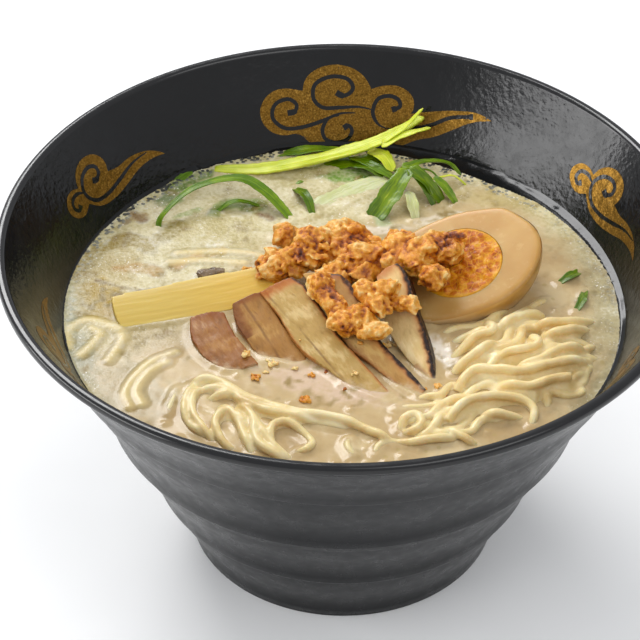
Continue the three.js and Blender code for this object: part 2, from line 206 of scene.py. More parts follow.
def smoothPath(points, step):  # a Catmull-Rom curve through the points, with a point every step millimetres
    knots = [np.array(p, float) for p in points]
    knots = [2 * knots[0] - knots[1]] + knots + [2 * knots[-1] - knots[-2]]
    line = []
    for a, b, c, d in zip(knots, knots[1:], knots[2:], knots[3:]):
        count = max(2, int(np.linalg.norm(c - b) / step))
        for t in np.arange(count) / count:
            bend = 2 * b + (c - a) * t + (2 * a - 5 * b + 4 * c - d) * t ** 2
            line.append(0.5 * (bend + (3 * b - a - 3 * c + d) * t ** 3))
    line.append(knots[-2])
    return line


def between(values, t):  # a value read from an evenly spaced list
    spot = min(max(t, 0), 1) * (len(values) - 1)
    i = min(int(spot), len(values) - 2)
    return values[i] + (values[i + 1] - values[i]) * (spot - i)


def eased(values, low, high):
    t = np.clip((values - low) / (high - low), 0, 1)
    return t * t * (3 - 2 * t)


def ripple(x, y, z, size, seed=0):  # smooth noise from -1 to 1
    return noise.noise(Vector((x, y, z)) / size + Vector((seed * 7.3, seed * 3.1, seed * 5.7)))


# a grid whose every point is placed by shape(u, v), in millimetres
def gridSheet(name, columns, rows, shape):
    bpy.ops.mesh.primitive_grid_add(x_subdivisions=columns, y_subdivisions=rows, size=1, calc_uvs=True)
    piece = added(name)
    for vertex in piece.data.vertices:
        vertex.co = Vector(shape(vertex.co.x + 0.5, vertex.co.y + 0.5)) * mm
    return piece


def pointsOf(mesh, unit=mm, what="co"):  # all points, or their normals, as one array
    flat = np.empty(len(mesh.vertices) * 3)
    mesh.vertices.foreach_get(what, flat)
    return flat.reshape(-1, 3) / unit


def movePoints(mesh, spots, unit=mm):
    mesh.vertices.foreach_set("co", (spots * unit).ravel())
    mesh.update()


def joinAll(name, parts):
    bpy.ops.object.select_all(action="DESELECT")
    for part in parts:
        part.select_set(True)
    bpy.context.view_layer.objects.active = parts[0]
    bpy.ops.object.join()
    return added(name)


# Bowl

bowlShape = {
    "segments": 180,
    "rim": (100, 109),
    "lipFrom": (105.9, 108),  # where the polished lip starts, outside and inside
    "creases": ((57.4, 24.6), (70.1, 51.2), (83, 80.3)),
    "ledge": 0.76,      # how far each tier stands out over the one below
    "hollow": 0.7,
    "fullness": 0.37,
    "foot": (47.5, 3.5, 3),  # radius, ring width, recess
    "wall": ((35, 13), (50, 23), (61, 39), (69, 54), (75.5, 69), (82, 82.3), (89, 95.25), (96.8, 108.1)),
}


def wallRadius(height):  # the inside of the wall, as a smooth curve
    radii, heights = zip(*bowlShape["wall"])
    return float(np.interp(height, heights, radii))


def tierRings(lower, upper, steps=9):
    rise, flare = upper[1] - lower[1], upper[0] - lower[0]
    slant = math.hypot(rise, flare)
    rings = []
    for i in range(steps + 1):
        t = i / steps
        out = -4 * t * (1 - t) * bowlShape["hollow"] - math.sin(2 * math.pi * t) * bowlShape["fullness"]
        rings.append((lower[0] + flare * t + out * rise / slant, lower[1] + rise * t - out * flare / slant))
    return rings


def turnRings(name, rings, segments):  # a ring of edges, extruded and resized from ring to ring
    radius, height = rings[0]
    bpy.ops.mesh.primitive_circle_add(vertices=segments, radius=radius * mm, fill_type="NOTHING",
                                      enter_editmode=True)
    bpy.ops.mesh.select_all(action="SELECT")
    bpy.ops.transform.translate(value=(0, 0, height * mm))
    for nextRadius, nextHeight in rings[1:]:
        bpy.ops.mesh.extrude_edges_move(TRANSFORM_OT_translate={"value": (0, 0, (nextHeight - height) * mm)})
        grow = nextRadius / radius
        bpy.ops.transform.resize(value=(grow, grow, 1), center_override=(0, 0, nextHeight * mm))
        radius, height = nextRadius, nextHeight
    bpy.ops.mesh.select_all(action="SELECT")
    bpy.ops.mesh.fill_holes(sides=0)
    facedOut()
    return added(name)


def bowlRings():
    footRadius, footRing, recess = bowlShape["foot"]
    inner = footRadius - footRing
    rings = [(10, recess), (inner - 1.2, recess), (inner - 0.3, 0.5), (inner + 0.2, 0), (footRadius - 0.5, 0)]
    rimRadius, rimHeight = bowlShape["rim"]
    start = (footRadius, 0.4)
    for top in list(bowlShape["creases"]) + [(rimRadius - 1.3, rimHeight - 3)]:
        tier = tierRings(start, top)
        if start[1] > 1:  # the lower edge of a tier is rounded over
            tier[0:1] = [(start[0] - 0.22, start[1] - 0.04), (start[0] + 0.02, start[1] + 0.12),
                         (start[0] + 0.3, start[1] + 0.6)]
        rings += tier
        start = (top[0] + bowlShape["ledge"], top[1] + 0.2)
    lip = [(1, 2.85), (0.35, 2.6), (0.05, 2.1), (0, 1.4), (0.1, 0.7), (0.5, 0.2), (1.05, 0), (1.8, 0),
           (2.5, 0.12), (2.95, 0.45), (3.2, 0.9)]
    rings += [(rimRadius - inward, rimHeight - down) for inward, down in lip]
    heights = np.linspace(106.6, 13, 52)
    rings += [(wallRadius(height), height) for height in heights]
    return rings + [(24, 10.5), (10, 9.3)]


def makeMelamine(name, colours, roughness, gloss, dimple, depth):
    # melamine resin, pressed in a polished steel mould: hard, dark and slightly dimpled like orange peel
    material, add, shader = newMaterial(name, IOR=1.5, Specular_IOR_Level=gloss)
    spot = add("TexCoord", out="Object")
    cloudy = add("TexNoise", {"Vector": spot, "Detail": 4}, size=22)
    rub = add("TexNoise", {"Vector": spot, "Detail": 4}, size=4)
    peel = add("TexNoise", {"Vector": spot, "Detail": 2, "Roughness": 0.45}, size=dimple)
    fine = add("TexNoise", {"Vector": spot, "Detail": 2}, size=0.5)
    fineBump = add("Bump", {"Height": fine, "Distance": 0.01 * mm, "Strength": 1})
    feed(shader, Base_Color=add("ValToRGB", (cloudy,), stops=((0.35, colours[0]), (0.65, colours[1]))),
         Roughness=add("MapRange", (rub, 0.3, 0.7, roughness - 0.04, roughness + 0.06), **smoothly),
         Normal=add("Bump", {"Height": peel, "Distance": depth * mm, "Strength": 1, "Normal": fineBump}))
    return material


bowl = turnRings("bowlShell", bowlRings(), bowlShape["segments"])
smoothShade(bowl, 50)
melamineSatin = makeMelamine("melamine satin outside", ("#07080a", "#0c0d10"), 0.3, 0.2, 2.2, 0.02)
melamineGloss = makeMelamine("melamine gloss inside", ("#070708", "#0c0c0e"), 0.2, 0.4, 1.6, 0.13)
melamineLip = makeMelamine("melamine polished lip", ("#08080a", "#0c0c0e"), 0.16, 0.5, 5, 0.03)
place(bowl, melamineSatin, "melamine", "bowl")
bowl.data.materials.append(melamineGloss)
bowl.data.materials.append(melamineLip)
for face in bowl.data.polygons:
    centre = face.center
    outside = face.normal.x * centre.x + face.normal.y * centre.y > 0 or centre.z < 0.005
    onLip = centre.z > bowlShape["lipFrom"][0 if outside else 1] * mm
    face.material_index = 2 if onLip else 0 if outside else 1
print("bowl turned:", len(bowl.data.polygons), "faces")


# Gold clouds printed inside the wall
# Outlines are in millimetres along the wall (clockwise from above) and up it from the soup.

cloudPrints = {
    "proud": 0.06,
    "big": {
        "edge": ((-35.8, 11.2), (-34.8, 14.7), (-31.5, 17.7), (-27.9, 18.5), (-21.5, 17.3), (-20.5, 20.5),
                 (-17.7, 23.2), (-12.9, 24.8), (-8.1, 24.5), (-3.3, 22.1), (-0.7, 18.8), (-0.1, 17.6),
                 (4.2, 19), (9.2, 18.9), (13.1, 16.2), (13.8, 12.7), (13.2, 11.1), (20.3, 13), (27.9, 14.8),
                 (34.8, 15.7), (39.8, 14.8), (33.9, 12.6), (26.7, 7.9), (21.8, 5), (16.5, 3.1), (8.7, -0.6),
                 (0.4, -1.8), (-7.9, -2.4), (-16.1, -1.2), (-20.5, 0.9), (-23.6, 3.5), (-29.6, 3.9),
                 (-34.1, 6.6)),
        "corners": (4, 11, 16, 20, 28),
        "lines": (((-4.9, 9.9), (-10.1, 9.5), (-16.4, 7.1), (-22.8, 5.7), (-28.2, 6), (-31.6, 9),
                   (-31.7, 12.1), (-29.9, 14.4), (-26.2, 15.1), (-23.8, 13.2), (-24.5, 11), (-26.9, 10.7)),
                  ((0.5, 11.1), (-3.9, 11.8), (-10.1, 11.5), (-15.2, 11.6), (-18.1, 14.3), (-17.9, 18.3),
                   (-15.4, 20.4), (-11.5, 21.3), (-7.6, 20.5), (-5.8, 18.1), (-6.8, 16.1), (-9, 15.3),
                   (-11, 16.3)),
                  ((5.4, 5.5), (2.6, 6.8), (0.8, 10.3), (2.1, 14.5), (5.5, 15.9), (8.6, 15.1), (9.4, 12.9),
                   (6.9, 11.6)),
                  ((-10.1, 9), (-13.7, 8), (-15.7, 4.5), (-14.7, 1.4), (-11.2, 0.3), (-7.4, 1.3), (-5.8, 3.9),
                   (-6.9, 5.7), (-8.7, 4.9)),
                  ((5.4, 5.5), (9.7, 5.5), (16, 6.9), (21, 9), (26.3, 12.2), (33.5, 14.3))),
        "angles": (84, 268),
    },
    "small": {
        "edge": ((-2.2, 9.1), (-6, 7.5), (-9.9, 8.8), (-11.8, 12.1), (-10.2, 15.3), (-6.4, 16.3),
                 (-3.2, 15.3), (-1.9, 18.1), (1, 20.4), (5.6, 21.1), (9.4, 19.6), (11.3, 16.4), (10.8, 13.1),
                 (15, 12.4), (20.4, 12.9), (26.2, 12.3), (30.8, 10.5), (33.5, 8.6), (28.7, 9), (22.6, 8.2),
                 (15.7, 6), (8.9, 4.8), (2.1, 5.8)),
        "corners": (0, 6, 12, 17),
        "lines": (((27.2, 11.6), (20.9, 10.9), (13.5, 8.6), (7.4, 7.4), (1.9, 8), (-1.2, 10.8), (-1.6, 13.9),
                   (0.6, 16.9), (4.2, 18), (6.9, 17), (7.3, 14.8), (5.2, 13.3), (3.6, 14)),
                  ((-1.8, 12.9), (-4.9, 14.3), (-8, 13.9), (-9, 11.6), (-7.4, 10), (-5.9, 11))),
        "angles": (29, 152, 206, 330),
    },
}


def onWall(along, up, angle, proud):  # a point of a print, on the inside of the wall
    height = brothLevel + up / 1.14
    radius = wallRadius(height) - proud
    turn = math.radians(angle) - along / 88
    return Vector((radius * math.cos(turn), radius * math.sin(turn), height + proud * 0.5)) * mm


def filledOutline(name, edge, corners):  # a filled flat outline, in millimetres
    curve = bpy.data.curves.new(name, "CURVE")
    curve.dimensions = "2D"
    curve.fill_mode = "BOTH"
    curve.resolution_u = 5
    spline = curve.splines.new("BEZIER")
    spline.bezier_points.add(len(edge) - 1)
    spline.use_cyclic_u = True
    for i, (point, (x, y)) in enumerate(zip(spline.bezier_points, edge)):
        point.co = (x, y, 0)
        kind = "VECTOR" if i in corners else "AUTO"
        point.handle_left_type = point.handle_right_type = kind
    pickOnly(inScene(name, curve))
    bpy.ops.object.convert(target="MESH")
    return added(name)


def flatShape(name, edge, corners):  # a flat outline cut into cells, so that it can bend
    piece = filledOutline(name, edge, corners)
    bpy.ops.object.mode_set(mode="EDIT")
    for axis, low, high in (((1, 0, 0), -36, 40), ((0, 1, 0), -3, 26)):
        for cut in range(low, high, 2):
            bpy.ops.mesh.select_all(action="SELECT")
            bpy.ops.mesh.bisect(plane_co=Vector(axis) * cut, plane_no=axis)
    bpy.ops.object.mode_set(mode="OBJECT")
    return piece


def lineStrip(points, width):  # a flat strip along a curve, swelling at its inner end
    line = smoothPath(points, 0.5)
    verts, faces = [], []
    for i, spot in enumerate(line):
        ahead, behind = line[min(i + 1, len(line) - 1)], line[max(i - 1, 0)]
        way = (ahead - behind) / max(1e-6, np.linalg.norm(ahead - behind))
        share = i / (len(line) - 1)
        reach = width * (0.25 + 0.75 * min(1, share * 4)) * (1.5 if share > 0.95 else 1) / 2
        verts += [(spot[0] - way[1] * reach, spot[1] + way[0] * reach, 0),
                  (spot[0] + way[1] * reach, spot[1] - way[0] * reach, 0)]
        if i:
            faces.append((2 * i - 2, 2 * i - 1, 2 * i + 1, 2 * i))
    return verts, faces


def makeGoldPrint():
    # gold lacquer, screen printed and rubbed: fine metal flakes in a brown binder, worn through in spots
    material, add, shader = newMaterial("gold lacquer screen print", IOR=1.5)
    spot = add("TexCoord", out="Object")
    fleck = add("TexNoise", {"Vector": spot, "Detail": 3, "Roughness": 0.6}, size=0.5)
    colour = add("ValToRGB", (fleck,), stops=((0.3, "#5a3e12"), (0.52, "#84601f"), (0.75, "#ba9045")))
    rubbed = add("TexNoise", {"Vector": spot, "Detail": 5, "Roughness": 0.65}, size=5)
    worn = add("MapRange", (rubbed, 0.66, 0.7), **smoothly)
    uneven = add("TexNoise", {"Vector": spot, "Detail": 2, "Roughness": 0.45}, size=2.6)
    feed(shader, Base_Color=add("Mix", {0: worn, 6: colour, 7: "#2a2620"}, **asColour),
         Metallic=add("MapRange", (worn, 0, 1, 0.85, 0.1), **smoothly),
         Roughness=add("MapRange", (fleck, 0.3, 0.7, 0.3, 0.42), **smoothly),
         Normal=add("Bump", {"Height": uneven, "Distance": 0.3 * mm, "Strength": 1}))
    return material


goldPrint = makeGoldPrint()
for kind in ("big", "small"):
    motif = cloudPrints[kind]
    flat = flatShape("cloudPattern", motif["edge"], motif["corners"])
    golds, blacks = [], []
    for angle in motif["angles"]:
        gold = copied(flat)
        for vertex in gold.data.vertices:
            vertex.co = onWall(vertex.co.x, vertex.co.y, angle, cloudPrints["proud"])
        golds.append(gold)
        for points in motif["lines"]:
            verts, faces = lineStrip(points, 1.25)
            strip = bpy.data.meshes.new("line")
            strip.from_pydata([onWall(x, y, angle, cloudPrints["proud"] + 0.05) for x, y, z in verts], [],
                              faces)
            blacks.append(inScene("line", strip))
    bpy.data.objects.remove(flat)
    for ending, prints, finish in (("Gold", golds, (goldPrint,)),
                                   ("Lines", blacks, (melamineGloss, "melamine"))):
        cloud = joinAll(kind + "Cloud" + ending, prints)
        smoothShade(cloud, 60)
        place(cloud, *finish)
print("clouds printed")


# Noodles

noodleShape = {
    "radius": 1.35,
    "wallGap": 2.2,
    "soften": 0.8,     # how much of a noodle's height counts where another crosses it
    "dip": 2.6,
    "bluntEnd": (63.5, -37.5),
    "bedUnder": 0.75,  # how deep the tangle lies under the noodles that show
    "bedSoft": 2,
    "bedDepth": 3,
    "voxel": 0.42,
    "melt": 3,
    "heaps": (((53, -27), (20, 18), 30, 3.6), ((30, -48), (19, 10), 25, 1.3),
              ((-16, -55), (34, 11), -4, 1.2)),
    "right": (
        ((33.5, -7.5), (37.5, -4.5), (44, -4)),
        ((27, -15), (33, -11.5), (41, -10), (46.5, -4), (47.5, -2.5)),
        ((29, -18.5), (36, -16.5), (42.5, -14.5)),
        ((44, -15.5), (49.5, -10), (55.5, -1.5), (61.5, 2.5)),
        ((47, -12), (54, -8), (58, -7)),
        ((57, -20.5), (64, -17.5), (71.5, -11.5)),
        ((55, -14), (64, -12), (74, -8)),
        ((48, -35), (54.5, -32.5), (61.5, -27), (68, -24)),
        ((43.5, -28), (50, -28), (55, -25.5), (53.5, -19.5)),
        ((29, -26.5), (37, -19), (42.5, -17), (41.5, -10)),
        ((31, -31.5), (37.5, -27), (43, -22)),
        ((31.5, -39.5), (36, -34), (43, -35), (49.5, -36.5), (58.5, -33.5), (68, -29.5)),
        ((43.5, -39.5), (51.5, -41.5), (58, -39), (63.5, -37.5)),
        ((38, -51), (44.5, -51), (50.5, -50.5)),
        ((28.5, -52.5), (34.5, -47), (41.5, -45), (49, -45), (52.5, -48.5), (51, -55)),
    ),
    "frontWindow": {"corner": (140, 370), "step": (340 / 1500, 100 / 441)},  # an enlarged part of the view
    "frontLevel": 84.6,
    "frontSeen": (  # picked in that window
        ((1150, 240), (1165, 205), (1210, 190), (1240, 210), (1240, 240), (1200, 255), (1165, 250)),
        ((1045, 378), (1040, 330), (1065, 300), (1120, 290), (1200, 300), (1300, 292), (1400, 280)),
        ((1340, 240), (1390, 265), (1440, 290), (1490, 310)),
        ((940, 258), (915, 300), (935, 340), (985, 372)),
        ((120, 195), (125, 150), (145, 100), (165, 60), (180, 30)),
        ((345, 140), (390, 160), (430, 210), (455, 270), (480, 320), (500, 350)),
        ((400, 150), (360, 175), (330, 220), (345, 270), (375, 310), (430, 330)),
        ((400, 160), (440, 200), (462, 230), (492, 255)),
        ((430, 130), (480, 180), (530, 250), (570, 300), (620, 345), (690, 378)),
        ((470, 185), (505, 225), (502, 262), (520, 310), (570, 345), (640, 368)),
        ((590, 325), (575, 280), (585, 240), (630, 222), (690, 235), (740, 270), (760, 300), (735, 330),
         (680, 338)),
        ((300, 272), (240, 240), (200, 190), (195, 130), (215, 80), (250, 45), (300, 28)),
        ((322, 292), (280, 250), (238, 190), (228, 130), (248, 85), (295, 62)),
        ((300, 112), (340, 100), (400, 95), (440, 110), (490, 140), (550, 165)),
        ((250, 72), (330, 70), (400, 88), (450, 125), (520, 158), (590, 178), (680, 195), (780, 207),
         (870, 222), (950, 245)),
        ((215, 55), (280, 28), (350, 42), (410, 75), (470, 110), (550, 140), (620, 163), (700, 182),
         (800, 193), (880, 208), (960, 233), (1040, 265), (1110, 292)),
    ),
    "sunkWindow": {"corner": (60, 240), "step": (240 / 900, 230 / 862)},
    "sunkLevel": 82.6,
    "sunkSeen": (
        ((30, 400), (30, 340), (90, 300), (160, 310), (230, 350), (215, 400), (180, 450)),
        ((75, 430), (110, 400), (150, 350), (120, 330)),
        ((260, 620), (245, 570), (290, 500), (350, 450), (430, 420)),
        ((305, 610), (285, 560), (330, 495), (400, 455)),
    ),
    "sunkBehind": (  # in millimetres
        ((-50, 24), (-40, 25), (-28, 24), (-18, 20)),
        ((-52, 20), (-42, 20.5), (-30, 19.5)),
    ),
}


def heapRise(x, y):
    rise = 0
    for (cx, cy), (rx, ry), turn, top in noodleShape["heaps"]:
        along, across = turnedBack(x - cx, y - cy, turn)
        rise = max(rise, top * (1 - (along / rx) * (along / rx) - (across / ry) * (across / ry)))
    return rise


# wavy noodles that lie side by side under the others
def fillerPlans(heap, count, heading, spread, sway, seed):
    dice = random.Random(seed)
    (cx, cy), (rx, ry), turn, top = heap
    plans = []
    for i in range(count):
        row = (i + 0.5) / count * 2 - 1
        angle = math.radians(heading + spread * (dice.random() - 0.5))
        reach = math.sqrt(max(0.05, 1 - row * row)) * rx * (0.8 + 0.3 * dice.random())
        side = row * ry
        phase = dice.random() * 6
        plan = []
        for k in range(8):
            along = (k / 7 * 2 - 1) * reach
            across = side + sway * math.sin(phase + k * 1.25) + sway * 0.4 * math.sin(phase * 2 + k * 2.3)
            plan.append((cx + along * math.cos(angle) - across * math.sin(angle),
                         cy + along * math.sin(angle) + across * math.cos(angle)))
        plans.append(plan)
    dice.shuffle(plans)
    return plans


topOfFood = np.full((180, 180), -2.0)  # height above the soup, in a grid of 1 mm cells


def layStrands(plans, ground, cap):  # each noodle drapes over what lies under it, and its ends dip down
    radius = noodleShape["radius"]
    near = [(i, j) for i in (-1, 0, 1) for j in (-1, 0, 1)]
    laid = []
    for plan in plans:
        line = smoothPath(plan, 1.1)
        under = []
        for x, y in line:
            i, j = int(x + 90), int(y + 90)
            most = max(topOfFood[i + a, j + b] for a, b in near)
            under.append(max(most, ground(x, y)) + radius)
        count = len(under)
        wide = [max(under[max(0, i - 2):i + 3]) for i in range(count)]
        windows = [wide[max(0, i - 3):i + 4] for i in range(count)]
        heights = [sum(window) / len(window) for window in windows]
        spots = []
        for k, ((x, y), height) in enumerate(zip(line, heights)):
            height = min(height, ground(x, y) + radius + cap)
            fromEnd = min(k, count - 1 - k if tuple(plan[-1]) != noodleShape["bluntEnd"] else count)
            height -= noodleShape["dip"] * max(0, 1 - fromEnd / 4) ** 2
            far = math.hypot(x, y)
            limit = wallRadius(brothLevel + height) - noodleShape["wallGap"]
            if far > limit:
                x, y = x * limit / far, y * limit / far
            spots.append((x, y, height))
            i, j = int(x + 90), int(y + 90)
            for a, b in near:
                drop = 1 if a == b == 0 else 0.55
                topOfFood[i + a, j + b] = max(
                    topOfFood[i + a, j + b], height + (2 * drop - 1) * radius * noodleShape["soften"])
        laid.append(spots)
    return laid


def strandPiece(name, strands, bedPart, thick=1):  # the noodles cling together with soup between them
    curve = bpy.data.curves.new(name, "CURVE")
    curve.dimensions = "3D"
    curve.bevel_depth = noodleShape["radius"]
    curve.bevel_resolution = 2
    curve.use_fill_caps = True
    dice = random.Random(len(strands))
    for spots in strands:
        spline = curve.splines.new("POLY")
        spline.points.add(len(spots) - 1)
        swell = 0.92 + 0.18 * dice.random()
        for i, (point, (x, y, height)) in enumerate(zip(spline.points, spots)):
            point.co = (x, y, brothLevel + height, 1)
            end = min(i, len(spots) - 1 - i)
            point.radius = thick * swell * (0.9, 0.96,
                                            1)[min(end, 2)] * (1 + 0.05 * math.sin(i * 0.9 + swell * 50))
    pickOnly(inScene(name, curve))
    bpy.ops.object.convert(target="MESH")
    parts = [added(name)]
    (left, right), (low, high) = bedPart  # the tangle and the soup between the noodles that show
    fill = topOfFood.copy()
    for turn in range(noodleShape["bedSoft"]):
        padded = np.pad(fill, 1, mode="edge")
        fill = sum(padded[1 + a:181 + a, 1 + b:181 + b] for a in (-1, 0, 1) for b in (-1, 0, 1)) / 9

    def shape(u, v):
        x, y = left + (right - left) * u, low + (high - low) * v
        i, j = int(x + 89.5), int(y + 89.5)
        s, t = x + 89.5 - i, y + 89.5 - j
        near, far = (fill[i, k] * (1 - s) + fill[i + 1, k] * s for k in (j, j + 1))
        rise = near * (1 - t) + far * t
        pull = min(1, 80 / math.hypot(x, y))
        return x * pull, y * pull, brothLevel + rise - noodleShape["bedUnder"] + 0.25 * ripple(x, y, 0, 3)

    bed = gridSheet("bed", int(right - left), int(high - low), shape)
    bed.data.transform(Matrix.Scale(1 / mm, 4))
    editAll()
    bpy.ops.mesh.extrude_region_move(TRANSFORM_OT_translate={"value": (0, 0, -noodleShape["bedDepth"])})
    facedOut()
    piece = joinAll(name, parts + [bed])
    remeshed(piece, noodleShape["voxel"], noodleShape["melt"])
    piece.data.transform(Matrix.Scale(mm, 4))
    smoothShade(piece, 180)
    return piece


def makeNoodle():
    # wheat noodles with egg, boiled: smooth, wet, and a little see-through at their edges
    material, add, shader = newMaterial("boiled wheat noodle", (0.35, (1, 0.65, 0.3), 0.003), IOR=1.4,
                                        Roughness=0.3)
    spot = add("TexCoord", out="Object")
    patch = add("TexNoise", {"Vector": spot, "Detail": 3}, size=9)
    colour = add("ValToRGB", (patch,), stops=((0.3, "#d3b77c"), (0.5, "#e2cc94"), (0.7, "#ecdcae")))
    streak = add("TexNoise", {"Vector": spot, "Detail": 3, "Roughness": 0.6}, size=1.6)
    streaky = add("MapRange", (streak, 0.5, 0.8, 0, 0.35), **smoothly)
    colour = add("Mix", {0: streaky, 6: colour, 7: "#f0e4c0"}, **asColour)
    height = add("SeparateXYZ", (spot,), "Z")
    wet = add("MapRange", (height, (brothLevel - 0.2) * mm, (brothLevel + 1.6) * mm, 0.65, 0), **smoothly)
    fine = add("TexNoise", {"Vector": spot, "Detail": 3}, size=0.9)
    feed(shader, Base_Color=add("Mix", {0: wet, 6: colour, 7: "#dcc596"}, **asColour),
         Normal=add("Bump", {"Height": fine, "Distance": 0.08 * mm, "Strength": 0.7}))
    return material


noodleWheat = makeNoodle()
rightHeap, cornerHeap = noodleShape["heaps"][:2]
under = fillerPlans(rightHeap, 13, 25, 26, 2.2, 5) + fillerPlans(cornerHeap, 6, 25, 20, 1.6, 8)
right = layStrands(under, lambda x, y: heapRise(x, y) - 2.4, 1.4)
right += layStrands(noodleShape["right"], lambda x, y: max(heapRise(x, y) - 1.5, -1.5), 3.2)
noodlesRight = strandPiece("noodlesRight", right, ((22, 80), (-64, 8)))
place(noodlesRight, noodleWheat, "noodle", "noodles")
front = layStrands(fillerPlans(((-30, -52), (20, 7), -25, 1), 5, -35, 40, 1.5, 11), lambda x, y: -2.7, 0.6)
front += layStrands(plansSeen(noodleShape, "front"), lambda x, y: max(heapRise(x, y) * 0.5, 0) - 1.8, 2)
noodlesFront = strandPiece("noodlesFront", front, ((-52, 24), (-74, -32)), 0.95)
place(noodlesFront, noodleWheat, "noodle")
print("noodles laid:", len(right) + len(front), "strands,", len(noodlesRight.data.polygons), "faces")


# Pork

porkShape = {
    "thickness": 4.5,
    "crown": 0.45,
    "voxel": 0.36,
    # each band: edge, from, to, width, roast, char; the char on the right edges is partly charred crust,
    # partly painted shade under the next slice
    "slices": (
        {
            "node": "pork_slice_1", "start": (-39.4, -9.1, 4), "length": 25, "heading": -62, "pitch": 8,
            "lean": 8,
            "top": ((-1.3, -5.2), (-0.2, -1), (0.8, 2.2), (2.2, 4.2)),
            "right": ((2.2, 4.2), (5.9, 3.6), (11.5, 3.2), (15.2, 3.5), (21.3, 3.9), (24.2, 4.3)),
            "end": ((23.9, 0.9),),
            "left": ((-1.3, -5.2), (2.2, -7), (5.5, -8.1), (10.7, -8.6), (15, -8), (18.2, -6.9), (21.6, -5),
                     (23.5, -2)),
            "colours": ("#7c4a12", "#965e20", "#ac7632", "#8e4e14", "#b47024"),
            "bands": (("top", 0, 1, 2.6, 0.9, 0.05), ("left", 0, 1, 1.4, 0.5, 0),
                      ("right", 0, 0.45, 1.2, 0.7, 0.1)),
        },
        {
            "node": "pork_slice_2", "start": (-28.2, -5, 7), "length": 31, "heading": -61, "pitch": 16,
            "lean": 12,
            "top": ((0.1, -4.9), (0.1, 0.1), (0.5, 4.1)),
            "right": ((0.5, 4.1), (3.1, 4.3), (8.6, 4.6), (14.4, 4.7), (20, 5.1), (24.8, 5.9), (28.2, 4.8)),
            "end": ((28.2, 1.5),),
            "left": ((0.1, -4.9), (4.3, -6.4), (9.7, -7), (13, -6.6), (17.8, -6.4), (21.8, -5), (26, -2)),
            "colours": ("#8e6228", "#a67638", "#bc9050", "#8a4e18", "#c08040"), "crack": -1.5,
            "bands": (("top", 0, 1, 2.2, 0.9, 0.05), ("left", 0, 0.4, 3, 0.85, 0.2),
                      ("right", 0, 1, 0.8, 0.45, 0)),
        },
        {
            "node": "pork_slice_3", "start": (-18, -1.3, 10), "length": 55, "heading": -54, "pitch": 11.5,
            "lean": 16,
            "top": ((-0.8, -7.6), (-0.1, -2.1), (0.9, 3)),
            "right": ((0.9, 3), (5.3, 3.9), (18.2, 3), (25.5, 1.8), (32.4, 1.8), (39.4, 2), (47.5, 2.1),
                      (54.3, 2.3)),
            "end": ((53.7, -1.1),),
            "left": ((-0.8, -7.6), (8.5, -7.7), (19.1, -9.2), (24.7, -9.2), (29.5, -8.1), (34.7, -6.9),
                     (43.9, -5.4), (51.8, -3.9)),
            "colours": ("#a2803e", "#b89654", "#d2b67c", "#b4641e", "#b88040"), "crack": -5.6,
            "bands": (("top", 0, 1, 3.4, 0.85, 0.05), ("left", 0, 0.5, 0.6, 0.5, 0),
                      ("right", 0, 0.55, 1, 0.9, 0.9), ("right", 0.5, 1, 0.9, 0.7, 0.2)),
        },
        {
            "node": "pork_slice_4", "start": (-5.8, -0.6, 12), "length": 50, "heading": -56, "pitch": 14,
            "lean": 25,
            "top": ((-4.2, -5.1), (-1.5, -1.5), (1.7, 1.8)),
            "right": ((1.7, 1.8), (4.1, 3.7), (14.7, 3.3), (29.3, 0.7), (35.3, 1.2), (40.6, 1.7),
                      (49.4, 2.2)),
            "end": ((49.8, -0.2),),
            "left": ((-4.2, -5.1), (1.1, -5.4), (12.1, -6.7), (23.5, -7.7), (32.7, -5.8), (40.5, -4.2),
                     (48.7, -2.5)),
            "colours": ("#a5783a", "#b98d4e", "#c9a562", "#ad6228", "#8a4a20"),
            "bands": (("top", 0, 1, 3.6, 0.85, 0.2), ("right", 0, 0.4, 1.2, 0.8, 0.9),
                      ("right", 0.4, 1, 1.9, 0.8, 1), ("left", 0.35, 1, 1, 0.5, 0.1)),
        },
        {
            "node": "pork_slice_5", "start": (13.9, 0.2, 14), "length": 41, "heading": -72, "pitch": 21,
            "lean": 28,
            "top": ((1, -5.4), (-0.1, -1.8), (-0.3, 1.8)),
            "right": ((-0.3, 1.8), (3.5, 3.1), (15.6, 2.5), (27.4, 2.3), (39.3, 0.7)),
            "end": ((39.4, -0.4),),
            "left": ((1, -5.4), (10.7, -7.4), (20, -7.3), (29.5, -5.1), (38.3, -1.5)),
            "colours": ("#cba86c", "#dfc083", "#ebd09b", "#b87034", "#6e3818"),
            "bands": (("top", 0, 1, 3, 0.7, 0), ("right", 0, 1, 1.8, 0.9, 1), ("left", 0.8, 1, 1.6, 0.6, 0)),
        },
    ),
}


def sliceAxes(cut):
    heading, pitch, lean = (math.radians(cut[key]) for key in ("heading", "pitch", "lean"))
    along = Vector((math.cos(heading) * math.cos(pitch), math.sin(heading) * math.cos(pitch),
                    -math.sin(pitch)))
    level = Vector((-math.sin(heading), math.cos(heading), 0))
    straight = along.cross(level)
    side = level * math.cos(lean) + straight * math.sin(lean)
    x, y, rise = cut["start"]
    return Vector((x, y, brothLevel + rise)), along, side, along.cross(side)


def thickened(name, edge, corners, thickness):
    piece = filledOutline(name, edge, corners)
    editAll()
    bpy.ops.mesh.extrude_region_move(TRANSFORM_OT_translate={"value": (0, 0, -thickness)})
    facedOut()
    return piece


